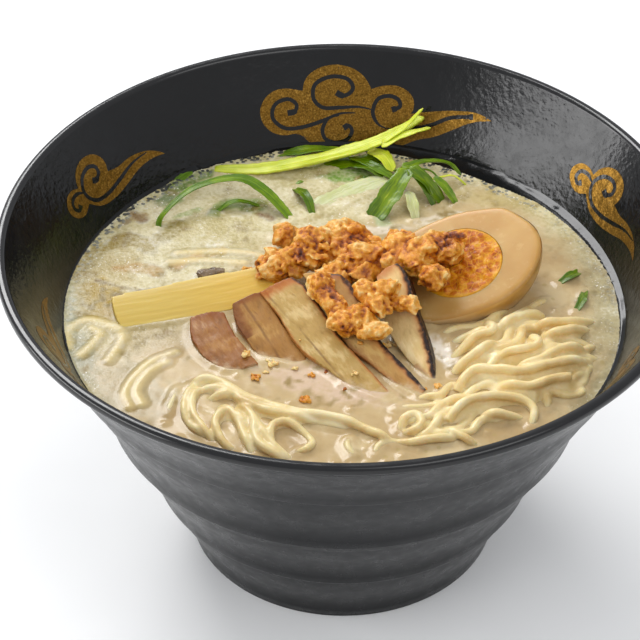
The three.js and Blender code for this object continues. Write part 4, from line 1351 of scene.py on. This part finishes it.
onionShape = {
    "onion_stalk": {
        "path": ((-41, 67.5, -0.4), (-24, 66, 1), (-6, 69.5, 2.5), (9.5, 74, 5), (18.5, 78, 7.5),
                 (26, 80.5, 11)),
        "width": (3, 4.6, 5.6, 5.6, 4.4, 2.4), "thickness": 1.9, "cup": 0.2, "kind": "pale",
    },
    "onion_blade": {"path": ((-22, 75, -0.3), (-10, 76.5, 1.2), (0, 77, 0.8)), "width": (2.4, 4.8, 3),
                    "thickness": 0.8, "cup": 0.12, "kind": "leaf"},
    "onion_arch": {
        "path": ((-56.5, 36.5, -1.2), (-55, 40, 2.6), (-46, 49, 6), (-33, 54, 6), (-24, 49.5, 4),
                 (-15, 40.5, -0.8)),
        "width": (1.8, 1.9, 2.4, 4.2, 4.4, 2.4), "thickness": 0.8, "cup": 0.22, "kind": "leaf",
    },
    "onion_arch_small": {"path": ((-40.5, 44.5, -0.9), (-33, 47.3, 2.4), (-23.5, 48, -0.7)),
                         "width": (1.2, 2, 1.4), "thickness": 0.6, "cup": 0.2, "kind": "leaf"},
    "onion_leaf": {"path": ((-15.6, 58.5, -0.6), (-11.5, 50, 2.2), (-8.8, 42.5, -0.6)),
                   "width": (1.2, 3.8, 3, 1.6), "thickness": 0.7, "cup": 0.2, "kind": "fold"},
    "onion_fold_left": {"path": ((9.4, 41.4, -0.4), (15, 49, 4), (20.5, 57, 7.6)), "width": (6.6, 7, 5.4),
                        "thickness": 0.8, "cup": 0.14, "kind": "fold"},
    "onion_fold_right": {"path": ((20.5, 57.5, 7.4), (26, 53.5, 5), (31, 50, -0.3)), "width": (6, 5.2, 3.6),
                         "thickness": 0.8, "cup": 0.16, "kind": "fold"},
    "onion_fold_inner": {"path": ((20.3, 50.5, 4), (21.5, 45.5, 2.8), (22.5, 40.6, -0.5)),
                         "width": (3, 3.6, 2.8), "thickness": 0.7, "cup": 0.16, "kind": "stem"},
    "onion_curl": {"path": ((18.5, 58.6, 7), (26, 63, 6.2), (33, 64, 5), (37.2, 61, 2.4)),
                   "width": (3, 2.6, 2, 1.2), "thickness": 0.6, "cup": 0.2, "kind": "fold"},
    "onion_short": {"path": ((3.5, 68.2, 1.2), (9, 65, 2.2), (15, 62.6, -0.2)), "width": (4.2, 4, 2.4),
                    "thickness": 0.8, "cup": 0.14, "kind": "fold"},
    "onion_tip": {"path": ((28.5, 57.2, 4.6), (31.8, 53.3, 3.2), (35.4, 48.9, -0.3)), "width": (2.6, 3.2, 2),
                  "thickness": 0.7, "cup": 0.18, "kind": "leaf"},
    "onion_bit": {"path": ((63, 9, -0.5), (67, 11.4, 1), (71.4, 16, -0.3)), "width": (1.2, 3.4, 2),
                  "thickness": 0.6, "cup": 0.2, "kind": "fold"},
    "onion_bit_near": {"path": ((67.4, -4.6, -0.4), (69.8, 0, 0.9), (71.6, 6.8, -0.2)),
                       "width": (1.4, 3, 1.6), "thickness": 0.6, "cup": 0.2, "kind": "fold"},
}
onionExtras = {
    "onionUnder": {"path": ((-6.4, 68, 0), (0.9, 70, 0.6), (9.4, 70.5, 1.4), (14.6, 75.4, 1.8)),
                   "width": (4, 6.6, 6.2, 3), "thickness": 0.7, "cup": 0.08, "kind": "fold"},
    "onionRagged": {"path": ((2, 71.4, 1.8), (7.5, 68, 2.2), (12.4, 64, 2), (17.4, 60.7, 0.2)),
                    "width": (2.6, 3.6, 3.4, 1.8), "thickness": 0.6, "cup": 0.14, "kind": "leaf"},
    "onionBehind": {"path": ((8.5, 75, 2), (13, 69.4, 3.4), (15.8, 64, 1.8)), "width": (3, 5.2, 3.4),
                    "thickness": 0.6, "cup": 0.14, "kind": "pale"},
    "onionBroad": {"path": ((-15.4, 42.4, -0.6), (-5.5, 48.4, 0.1), (3.9, 55.8, 0.3), (14.5, 62.4, 0.6)),
                   "width": (5, 8.4, 8, 4.4), "thickness": 0.7, "cup": 0.04, "kind": "stem"},
    "onionHairDark": {"path": ((24.5, 61.4, 4.8), (28, 60.4, 4.3), (31, 57, 2.4)), "width": (0.8, 0.7, 0.5),
                      "thickness": 0.5, "cup": 0.1, "kind": "leaf"},
    "onionHairPale": {"path": ((26.4, 56, 4), (31, 58.6, 3.6), (35, 60.2, 2.8), (39.4, 58.4, -0.2)),
                      "width": (0.9, 0.9, 0.7), "thickness": 0.5, "cup": 0.1, "kind": "pale"},
    "onionProngHigh": {"path": ((12.5, 73, 6.4), (19.8, 76.6, 10), (25.6, 79.8, 15)), "width": (2.6, 2, 0.9),
                       "thickness": 0.9, "cup": 0.15, "kind": "pale"},
    "onionProngLow": {"path": ((12.5, 71.4, 6), (20.2, 74.4, 8.6), (28, 75.6, 10.4)), "width": (3, 2.6, 1.4),
                      "thickness": 0.8, "cup": 0.15, "kind": "pale"},
    "onionHairLeaf": {"path": ((-13.2, 53, 2), (-10.4, 50.4, 2.4), (-9.4, 46.5, 0.2)),
                      "width": (0.6, 0.7, 0.6), "thickness": 0.4, "cup": 0.1, "kind": "leaf"},
    "onionFrothy": {"path": ((-53.4, 56.4, -0.6), (-51, 62, 0.25), (-47.4, 65.8, 0.3), (-43.4, 65.6, -0.5)),
                    "width": (2.2, 3.4, 2.4), "thickness": 0.6, "cup": 0.1, "kind": "leaf"},
    "onionCross": {"path": ((16.4, 62.4, 3.2), (20.6, 57.6, 7), (25.4, 52, 4.6), (28.4, 47.8, -0.2)),
                   "width": (3.2, 3.8, 3.2, 1.8), "thickness": 0.6, "cup": 0.16, "kind": "fold"},
    "onionScrap": {"path": ((-15, 58.6, 0.2), (-13, 60.2, 0.6), (-11.4, 60, 0)), "width": (0.8, 1.4, 0.8),
                   "thickness": 0.5, "cup": 0.1, "kind": "leaf"},
}


def makeOnion(name, stripes, shine):
    # raw spring onion leaf, cut: waxy skin with fine veins along it
    material, add, shader = newMaterial(name, (0.3, (0.7, 1, 0.1), 0.0015), IOR=1.4, Roughness=shine)
    lengthwise = add("Mapping",
                     {"Vector": add("UVMap", out="UV", uv_map="UVMap"), "Scale": (0.0015, 0.026, 1)})
    veins = add("TexNoise", {"Vector": lengthwise, "Detail": 3, "Roughness": 0.6}, size=1)
    patch = add("TexNoise", {"Vector": add("TexCoord", out="Object"), "Detail": 3}, size=7)
    share = add("Math", (patch, 0.4), operation="MULTIPLY")
    mixed = add("Math", (veins, 0.6, share), operation="MULTIPLY_ADD")
    feed(shader, Base_Color=add("ValToRGB", (mixed,), stops=stripes),
         Normal=add("Bump", {"Height": veins, "Distance": 0.15 * mm, "Strength": 0.7}))
    return material


def onionStrip(name, piece, seed):  # a flattened tube with thin edges, cupped across and a little twisted
    line = smoothPath([(x, y, brothLevel + z) for x, y, z in piece["path"]], 0.6)
    count = len(line) - 1

    def shape(u, v):
        i = min(int(u * count), count - 1)
        spot = Vector(line[i]).lerp(Vector(line[i + 1]), u * count - i)
        ahead = Vector(line[min(i + 2, count)]) - Vector(line[max(i - 1, 0)])
        ahead.normalize()
        side = Vector((0, 0, 1)).cross(ahead).normalized()
        up = ahead.cross(side)
        lean = 0.35 * ripple(u * 3, 1, 0, 1, seed + 20)
        side, up = side * math.cos(lean) + up * math.sin(lean), up * math.cos(lean) - side * math.sin(lean)
        toEnd = min(u, 1 - u) * count * 0.6
        wide = between(piece["width"], u) * min(1, 0.25 + toEnd / 1.4)
        wide *= 1 + 0.14 * ripple(u * 9, 0, 0, 1, seed)
        across, over = math.cos(v * 2 * math.pi), math.sin(v * 2 * math.pi)
        fold = piece["cup"] * wide * (abs(across) ** 1.5 + 0.12 * ripple(u * 10, across * 2, 0, 1, seed))
        ragged = 0.05 * wide * ripple(u * count, across * 3, 0, 2, seed + 5)
        thick = piece["thickness"] * (0.35 + 0.65 * min(1, toEnd)) * 0.5
        return spot + side * (across * wide * 0.5 + ragged) + up * (fold + over * thick)

    strip = gridSheet(name, max(24, count), 20, shape)
    editAll()
    bpy.ops.mesh.remove_doubles(threshold=0.001 * mm)
    bpy.ops.mesh.select_all(action="SELECT")
    bpy.ops.mesh.fill_holes(sides=0)
    facedOut()
    smoothShade(strip, 70)
    return strip


onionFinish = {
    "stem": makeOnion("spring onion, white stem",
                      ((0.3, "#aab068"), (0.45, "#c0c488"), (0.58, "#d2d4a4"), (0.72, "#e2e2c4")), 0.3),
    "pale": makeOnion("spring onion, pale leaf",
                      ((0.3, "#9eb418"), (0.44, "#c4d030"), (0.58, "#dfe65c"), (0.72, "#f4f4b0")), 0.3),
    "leaf": makeOnion("spring onion, green leaf",
                      ((0.3, "#2f5000"), (0.45, "#507300"), (0.6, "#7e9a10"), (0.75, "#bcc64c")), 0.3),
    # a darker copy of the green leaf for the folded strips: partly their own colour, partly painted shade of
    # the folds
    "fold": makeOnion("spring onion, young leaf",
                      ((0.3, "#2f4a00"), (0.45, "#4a6800"), (0.6, "#728c04"), (0.75, "#b2be3c")), 0.28),
}
for index, (node, piece) in enumerate(onionShape.items()):
    words = node.split("_")
    strip = onionStrip(words[0] + "".join(word.capitalize() for word in words[1:]), piece, index)
    place(strip, onionFinish[piece["kind"]],
          "onion_pale" if node in ("onion_stalk", "onion_fold_inner") else "onion", node)
for index, (name, piece) in enumerate(onionExtras.items()):
    place(onionStrip(name, piece, index + 40), onionFinish[piece["kind"]],
          "onion_pale" if piece["kind"] in ("stem", "pale") else "onion")
print("spring onion laid")


# Soup

brothShape = {
    "cell": 0.72,
    "plane": 83.2,          # half the side of the plane that the surface is cut from
    "cutAt": 80.3,
    "rounds": (81, 81.4),   # between the cut and the wall
    "levels": (69, 54, 39, 23, 13),
    "intoWall": 0.12,       # the surface ends a little inside the wall, the sides below a little short of it
    "shortOfWall": 0.2,
    "climb": 0.7,           # how far the soup climbs the wall
    # turn and radius where the soup thins to a dark film on the wall
    "edge": ((-180, 81.8), (-100, 82), (-40, 81.6), (-10, 80.9), (0, 80.5), (12, 79.9), (24, 79), (40, 78.2),
             (46, 76.8), (53, 75.6), (63, 75.8), (71, 76.8), (85, 78.4), (105, 79.6), (130, 80.9),
             (160, 81.5)),
    "cling": 0.55,          # and the food
    "noodleRidge": 0.55,
    "tints": (              # what shows through, and pale painted sheen: centre, half sizes, turn, colour, strength
        ((-73, 6), (7, 8), 30, "#cfac3c", 0.8),
        ((-63, 42.8), (3, 2.2), 20, "#94702c", 0.8),
        ((-66.5, 40.5), (2, 1.6), 60, "#6f5430", 0.7),
        ((-52, 36), (2.4, 4.6), -20, "#8a7a1c", 0.85),
        ((-50, 60), (3, 5), -20, "#4d7a1c", 0.9),
        ((-45, 63), (6, 2), 35, "#557f22", 0.85),
        ((-52, 50), (4, 1.6), 40, "#6d8a34", 0.7),
        ((-47, 45), (6, 1.4), 30, "#7b9440", 0.6),
        ((-32, 49), (9, 3), 8, "#7f9834", 0.75),
        ((4, 65), (11, 3.6), 12, "#5f8a10", 0.95),
        ((-2, 72), (16, 3), 8, "#a9b870", 0.6),
        ((20, 79), (4, 4), 30, "#8a9034", 0.8),
        ((12, 40), (3, 3.4), 30, "#a9b588", 0.8),
        ((48, 52), (15, 4), -8, "#b8a468", 0.6),
        # the six pale patches below are painted sheen, light reflected on the soup
        ((30, 42), (8, 2), 20, "#ece2cf", 0.9),
        ((5, 35), (16, 2.4), 8, "#e2d6c2", 0.8),
        ((-5, -36), (20, 7), -18, "#d8bda6", 0.7),
        ((-30, -24), (8, 3), -38, "#e6d2bd", 0.6),
        ((-70, -6), (7, 3), 10, "#e8dcc8", 0.6),
        ((28, -22), (3.4, 8), 25, "#f3e9d9", 0.9),
        ((-78, 4), (4, 14), -6, "#8f9480", 0.65),
        ((-76, -22), (4.4, 15), 18, "#9a9a84", 0.65),
        ((-60, -38), (11, 15), 38, "#9c8f68", 0.6),
        ((-62, -8), (12, 9), -10, "#b09c6c", 0.7),
        ((-70, 16), (9, 14), 0, "#a88c38", 0.55),
        ((-38, 36), (13, 7), 8, "#b0a060", 0.6),
        # the next two pale patches are painted sheen too
        ((-6, 22), (30, 3), 10, "#d9c6ae", 0.5),
        ((-43, -3), (6, 2.4), -20, "#efe4d6", 0.7),
    ),
    "sunkNoodle": "#ead494",
    "streakLevel": 82.5,
    "streaks": (            # strips that show through: picks in the view, half width, colour, strength
        (((85.5, 264.5), (90, 260), (94.5, 255.5), (103, 249), (112.7, 244.5), (121, 241), (130.9, 239),
          (140, 241), (148, 247)), 3.2, "#8c7400", 0.97),
        (((120, 268), (135, 267), (150, 268.5), (156, 272)), 2.4, "#a87c14", 0.95),
        (((74, 276), (84, 273), (92, 274)), 2.2, "#8a6c00", 0.9),
        (((90, 288), (98, 295), (95, 305), (100, 312)), 5, "#a48410", 0.85),
        (((142, 290), (155, 289), (170, 287), (185, 284), (196, 282)), 1, "#6a5028", 0.85),
        (((96, 280), (110, 283), (125, 287), (138, 290)), 1, "#6a5028", 0.8),
        (((176, 266), (190, 259), (205, 254), (222, 250)), 2, "#c49c5c", 0.85),
        (((165, 200), (175, 190), (185, 182), (200, 176)), 3, "#4c6a0c", 0.85),
        (((214, 212), (224, 205), (236, 203), (248, 206), (258, 208)), 2.6, "#5a7410", 0.8),
        (((133, 214), (142, 219)), 2, "#7a5a2c", 0.9),
        (((164, 236), (173, 230), (180, 224)), 3, "#857010", 0.85),
        (((262, 214), (270, 218)), 1.6, "#7a5020", 0.9),
    ),
}


def softDistance(points, spots, reach):  # how near each point is to a line of spots, from 0 at reach to 1
    best = np.zeros(len(points))
    for x, y in spots:
        away = np.hypot(points[:, 0] - x, points[:, 1] - y)
        best = np.maximum(best, np.clip(1 - away / reach, 0, 1))
    return best


def makeBroth():
    # creamy pork-bone soup: opaque, with fat in it, froth along the wall and small eyes of oil
    material, add, shader = newMaterial("creamy soup with froth", (0.2, (1, 0.75, 0.45), 0.003), IOR=1.36)
    spot = add("TexCoord", out="Object")
    froth, rim, back = add("SeparateColor", (add("Attribute", out="Color", attribute_name="froth"),), None)
    coarse = add("TexNoise", {"Vector": spot, "Detail": 4}, size=9)
    fine = add("TexNoise", {"Vector": spot, "Detail": 3, "Roughness": 0.6}, size=1.2)
    foam = add("TexVoronoi", {"Vector": spot}, size=1.3)
    bubble = add("TexVoronoi", {"Vector": spot}, size=1.5)
    mixed = add("Math", (foam, 0.2), operation="MULTIPLY")
    mixed = add("Math", (fine, 0.2, mixed), operation="MULTIPLY_ADD")
    mixed = add("Math", (coarse, 0.66, mixed), operation="MULTIPLY_ADD")
    clouds = add("TexNoise", {"Vector": spot, "Detail": 5, "Roughness": 0.6}, size=15)
    colour = add("ValToRGB", (clouds,), stops=((0.34, "#b4986a"), (0.5, "#c1a779"), (0.66, "#d0ba8e")))
    backTone = add("ValToRGB", (mixed,),
                   stops=((0.3, "#a0965a"), (0.44, "#bcb280"), (0.6, "#d6cea6"), (0.78, "#f0eddf")))
    sideTone = add("ValToRGB", (mixed,),
                   stops=((0.3, "#857a54"), (0.44, "#9a8f6a"), (0.6, "#b0a67e"), (0.78, "#d4cfb4")))
    frothTone = add("Mix", {0: back, 6: sideTone, 7: backTone}, **asColour)
    frothy = add("Math", (froth, 0.85), operation="MULTIPLY")
    tint = add("Attribute", out=None, attribute_name="seenThrough")
    clear = add("MapRange", (mixed, 0.7, 0.45, 0.5, 1), **smoothly)
    # what shows through the soup, together with the painted sheen of the pale patches
    sunkAndSheen = add("Math", (tint["Alpha"], clear), operation="MULTIPLY")
    clusters = add("TexNoise", {"Vector": spot, "Detail": 3}, size=8)
    clusters = add("Math", (froth, add("MapRange", (clusters, 0.45, 0.62, 0.15, 1), **smoothly)),
                   operation="MULTIPLY")
    # painted highlights: small bright glints scattered over the froth
    glints = add("TexNoise", {"Vector": spot, "Detail": 2}, size=0.7)
    paintedFrothGlints = add("Math", (add("MapRange", (glints, 0.64, 0.72), **smoothly), clusters), operation="MULTIPLY")
    # painted highlight on the rims of the bubbles near the edge, and painted shade in their pits
    paintedBubbleRims = add("Math", (add("MapRange", (bubble, 0.5, 0.34, 0, 0.8), **smoothly), rim), operation="MULTIPLY")
    wall = add("Math", (rim, -0.2, bubble), operation="MULTIPLY_ADD")
    wall = add("Math", (coarse, 0.5, wall), operation="MULTIPLY_ADD")
    paintedBubbleShade = add("Math", (add("MapRange", (wall, 0.56, 0.48, 0, 0.92), **smoothly), rim), operation="MULTIPLY")
    eyes = add("MapRange", (add("TexVoronoi", {"Vector": spot}, size=4.2), 0.2, 0.15, 0, 0.4), **smoothly)
    fatty = add("MapRange", (add("TexNoise", {"Vector": spot, "Detail": 3}, size=14), 0.42, 0.6), **smoothly)
    oil = add("Math", (eyes, fatty), operation="MULTIPLY")
    ragged = add("Math", (fine, 0.5, -0.25), operation="MULTIPLY_ADD")
    wet = add("Math", (add("Attribute", out="Fac", attribute_name="film"), ragged), operation="ADD")
    film = add("MapRange", (wet, 0.4, 0.6), **smoothly)
    layers = ((frothy, frothTone), (sunkAndSheen, tint["Color"]), (paintedFrothGlints, "#f4f2e8"), (paintedBubbleRims, "#d6d8cc"),
              (paintedBubbleShade, "#1d1f1c"),
              (oil, "#b09a58"), (film, "#0b0c0c"))
    for amount, over in layers:
        colour = add("Mix", {0: amount, 6: colour, 7: over}, **asColour)
    matt = add("MapRange", (froth, 0, 1, 0.18, 0.3), **smoothly)
    glossy = add("MapRange", (film, 0, 1, 1, 0.3), **smoothly)
    thick = add("MapRange", (film, 0, 1, 1, 0), **smoothly)
    pitted = add("Math", (add("Math", (froth, 0.6), operation="MULTIPLY"), thick), operation="MULTIPLY")
    bubbly = add("Math", (rim, thick), operation="MULTIPLY")
    pits = add("Bump", {"Height": fine, "Distance": 0.3 * mm, "Strength": pitted})
    domes = add("Bump", {"Height": bubble, "Distance": 0.4 * mm, "Strength": bubbly, "Normal": pits})
    waves = add("TexNoise", {"Vector": spot, "Detail": 2}, size=11)
    feed(shader, Base_Color=colour, Roughness=add("Math", (matt, glossy), operation="MULTIPLY"),
         Normal=add("Bump", {"Height": waves, "Distance": 0.5 * mm, "Strength": 0.2, "Normal": domes}))
    return material


def foodAtLevel(reach):  # points of the food where it meets the soup
    kinds = ("pork", "eggW", "bamb", "mush", "crum", "onio", "nood")
    spots = []
    for piece in list(bpy.data.objects):
        if piece.type == "MESH" and piece.name[:4] in kinds:
            flat = pointsOf(piece.data)
            spots.append(flat[np.abs(flat[:, 2] - brothLevel - 0.2) < reach, :2])
    return np.concatenate(spots)


def makeSoup():
    size = 2 * brothShape["plane"]
    cells = int(size / brothShape["cell"])
    bpy.ops.mesh.primitive_grid_add(x_subdivisions=cells, y_subdivisions=cells,
                                    size=size * mm, location=(0, 0, 0))
    piece = added("soup")
    mesh = piece.data
    bpy.ops.object.mode_set(mode="EDIT")
    bpy.ops.mesh.select_mode(type="VERT")
    bpy.ops.mesh.select_all(action="DESELECT")
    bpy.ops.object.mode_set(mode="OBJECT")
    for vertex in mesh.vertices:
        vertex.select = math.hypot(vertex.co.x, vertex.co.y) > brothShape["cutAt"] * mm
    bpy.ops.object.mode_set(mode="EDIT")
    bpy.ops.mesh.delete(type="VERT")
    lastRound = wallRadius(brothLevel + brothShape["climb"]) + brothShape["intoWall"]
    for reach in brothShape["rounds"] + (lastRound,):
        bpy.ops.mesh.select_all(action="DESELECT")
        bpy.ops.mesh.select_non_manifold()
        bpy.ops.mesh.extrude_edges_move()
        bpy.ops.object.mode_set(mode="OBJECT")
        for vertex in mesh.vertices:
            if vertex.select:
                vertex.co *= reach * mm / vertex.co.length
        bpy.ops.object.mode_set(mode="EDIT")
    bpy.ops.object.mode_set(mode="OBJECT")
    points = np.array([vertex.co for vertex in mesh.vertices])[:, :2] / mm
    x, y = points[:, 0], points[:, 1]
    far = np.hypot(x, y)
    ridge = np.zeros(len(points))
    for plan in plansSeen(noodleShape, "sunk") + list(noodleShape["sunkBehind"]):
        near = softDistance(points, smoothPath(plan, 1), 2.2)
        ridge = np.maximum(ridge, np.sqrt(np.clip(near * 1.3, 0, 1)))
    food = foodAtLevel(0.5)
    tree = kdtree.KDTree(len(food))
    for i, (a, b) in enumerate(food):
        tree.insert((a, b, 0), i)
    tree.balance()
    toFood = np.array([tree.find((a, b, 0))[2] for a, b in points])
    height = ridge * brothShape["noodleRidge"] + brothShape["climb"] * np.clip((far - 80.2) / 1.9, 0, 1) ** 2
    height += brothShape["cling"] * np.exp(-(toFood / 1.1) ** 2)
    turn = np.degrees(np.arctan2(y, x))
    edge = np.interp(turn, *zip(*brothShape["edge"]), period=360)
    film = eased(far - edge, -0.6, 0.6)
    mesh.attributes.new("film", "FLOAT", "POINT").data.foreach_set("value", film)
    climbing = np.clip((far - edge) / (82 - edge), 0, 1) ** 2 - np.clip((far - 80.2) / 1.9, 0, 1) ** 2
    height += brothShape["climb"] * climbing
    for i, vertex in enumerate(mesh.vertices):
        a, b = points[i]
        lift = height[i] + (0.12 * ripple(a, b, 0, 9) + 0.04 * ripple(a, b, 4, 3)) * (far[i] < 81.8)
        vertex.co = (a * mm, b * mm, (brothLevel + lift) * mm)
    wobble = np.array([ripple(a, b, 9, 6) * 0.4 + ripple(a, b, 3, 2.2) * 0.35 for a, b in points])
    backLeft = eased(0.62 * y - 0.48 * x + wobble * 8, 2, 30)
    side = eased(far + wobble * 5, 66, 78) * eased(y, -45, -5)
    wall = eased(far + wobble * 2.5, 76, 81) * eased(y, -75, -40)
    froth = np.zeros((len(points), 4))
    froth[:, 0] = np.maximum(np.maximum(backLeft * 0.9, side), wall)
    towardsBack = np.maximum(eased(y - 0.2 * x, 15, 62), 0.25 * eased(y, -40, 10))
    froth[:, 1] = eased(far + wobble * 1.6, edge - 4.6, edge - 1.6) * towardsBack
    froth[:, 2] = np.maximum(backLeft, eased(y, 20, 45))
    froth[:, 3] = 1
    mesh.color_attributes.new("froth", "FLOAT_COLOR", "POINT").data.foreach_set("color", froth.ravel())
    shade = np.zeros((len(points), 4))
    shade[:, :3] = 0.5
    # sunk things that show through, and pale patches of painted sheen
    for (cx, cy), (rx, ry), turn, colour, strength in brothShape["tints"]:
        along, across = turnedBack(x - cx, y - cy, turn)
        amount = np.clip((1.2 - np.hypot(along / rx, across / ry) + wobble) / 0.45, 0, 1) * strength
        rgb = np.array(linearColour(colour)[:3])
        total = amount + shade[:, 3] * (1 - amount)
        keep = np.where(total > 0, amount / np.maximum(total, 1e-6), 0)[:, None]
        shade[:, :3] = rgb * keep + shade[:, :3] * (1 - keep)
        shade[:, 3] = total
    covers = []
    for picks, reach, colour, strength in brothShape["streaks"]:
        path = seenAt(picks, wholeView, brothShape["streakLevel"])
        near = softDistance(points, smoothPath(path, 1), reach * 1.5)
        covers.append((eased(near + wobble * 0.8, 0.05, 0.6) * strength, colour))
    covers.append((np.clip(ridge * 1.3 - 0.35, 0, 1) * 0.85, brothShape["sunkNoodle"]))
    for amount, colour in covers:
        rgb = np.array(linearColour(colour)[:3])
        shade[:, :3] = rgb * amount[:, None] + shade[:, :3] * (1 - amount[:, None])
        shade[:, 3] = np.maximum(shade[:, 3], amount)
    mesh.color_attributes.new("seenThrough", "FLOAT_COLOR", "POINT").data.foreach_set("color", shade.ravel())
    bpy.ops.object.mode_set(mode="EDIT")
    bpy.ops.mesh.select_all(action="DESELECT")
    bpy.ops.mesh.select_mode(type="EDGE")
    bpy.ops.mesh.select_non_manifold()
    level = brothLevel
    for nextLevel in brothShape["levels"]:  # the sides go down inside the wall to the floor of the bowl
        bpy.ops.mesh.extrude_edges_move(TRANSFORM_OT_translate={"value": (0, 0, (nextLevel - level) * mm)})
        aside = brothShape["intoWall"] if level == brothLevel else -brothShape["shortOfWall"]
        grow = (wallRadius(nextLevel) - brothShape["shortOfWall"]) / (wallRadius(level) + aside)
        bpy.ops.transform.resize(value=(grow, grow, 1), center_override=(0, 0, nextLevel * mm))
        level = nextLevel
    bpy.ops.mesh.edge_face_add()
    facedOut()
    smoothShade(piece, 60)
    return piece


soup = makeSoup()
place(soup, makeBroth(), "broth", "broth")
print("soup poured:", len(soup.data.polygons), "faces")


# Floor, light and camera

stageShape = {
    "floor": 6,
    "aim": (0, 0, 0.08),
    "lamps": {  # power, size and place, in watts and metres
        "keyBehind": (38, (1.2, 1.0), (-0.75, 1.65, 1.75)),
        "leftWindow": (13, (1.5, 0.5), (-1.45, -0.3, 0.5)),
        "fillAbove": (12, (1.6, 1.2), (0.9, -0.9, 2.1)),
    },
    "sky": 0.7,
}


def makeFloor():
    # thick matt card, rolled and uncoated: even and pale, with a faint tooth
    material, add, shader = newMaterial("pale matt paper", Roughness=0.85)
    tooth = add("TexNoise", {"Vector": add("TexCoord", out="Object"), "Detail": 2}, size=60)
    feed(shader, Base_Color=add("ValToRGB", (tooth,), stops=((0.3, "#f4f4f4"), (0.7, "#f8f8f8"))))
    return material


bpy.ops.mesh.primitive_plane_add(size=stageShape["floor"], location=(0, 0, 0))
floor = added("floorPaper")
floor.data.materials.append(makeFloor())


def softLight(name, power, size, spot):
    light = bpy.data.lights.new(name, "AREA")
    light.shape = "RECTANGLE"
    light.size, light.size_y = size
    light.energy = power
    lamp = inScene(name, light)
    lamp.location = spot
    lamp.rotation_euler = (Vector(stageShape["aim"]) - Vector(spot)).to_track_quat("-Z", "Y").to_euler()


for name, values in stageShape["lamps"].items():
    softLight(name, *values)
bpy.context.scene.view_settings.view_transform = "Standard"
world = bpy.data.worlds.new("paleStudio")
bpy.context.scene.world = world
world.use_nodes = True
world.node_tree.nodes["Background"].inputs["Color"].default_value = (0.95, 0.97, 1, 1)
world.node_tree.nodes["Background"].inputs["Strength"].default_value = stageShape["sky"]

camera = bpy.data.cameras.new("camera")
camera.sensor_width = viewShape["sensor"]
camera.lens = viewShape["lens"]
cameraPlace = inScene("camera", camera)
cameraPlace.location = Vector(viewShape["place"]) * mm
cameraPlace.rotation_euler = (math.radians(viewShape["tilt"]), 0, 0)
bpy.context.scene.camera = cameraPlace
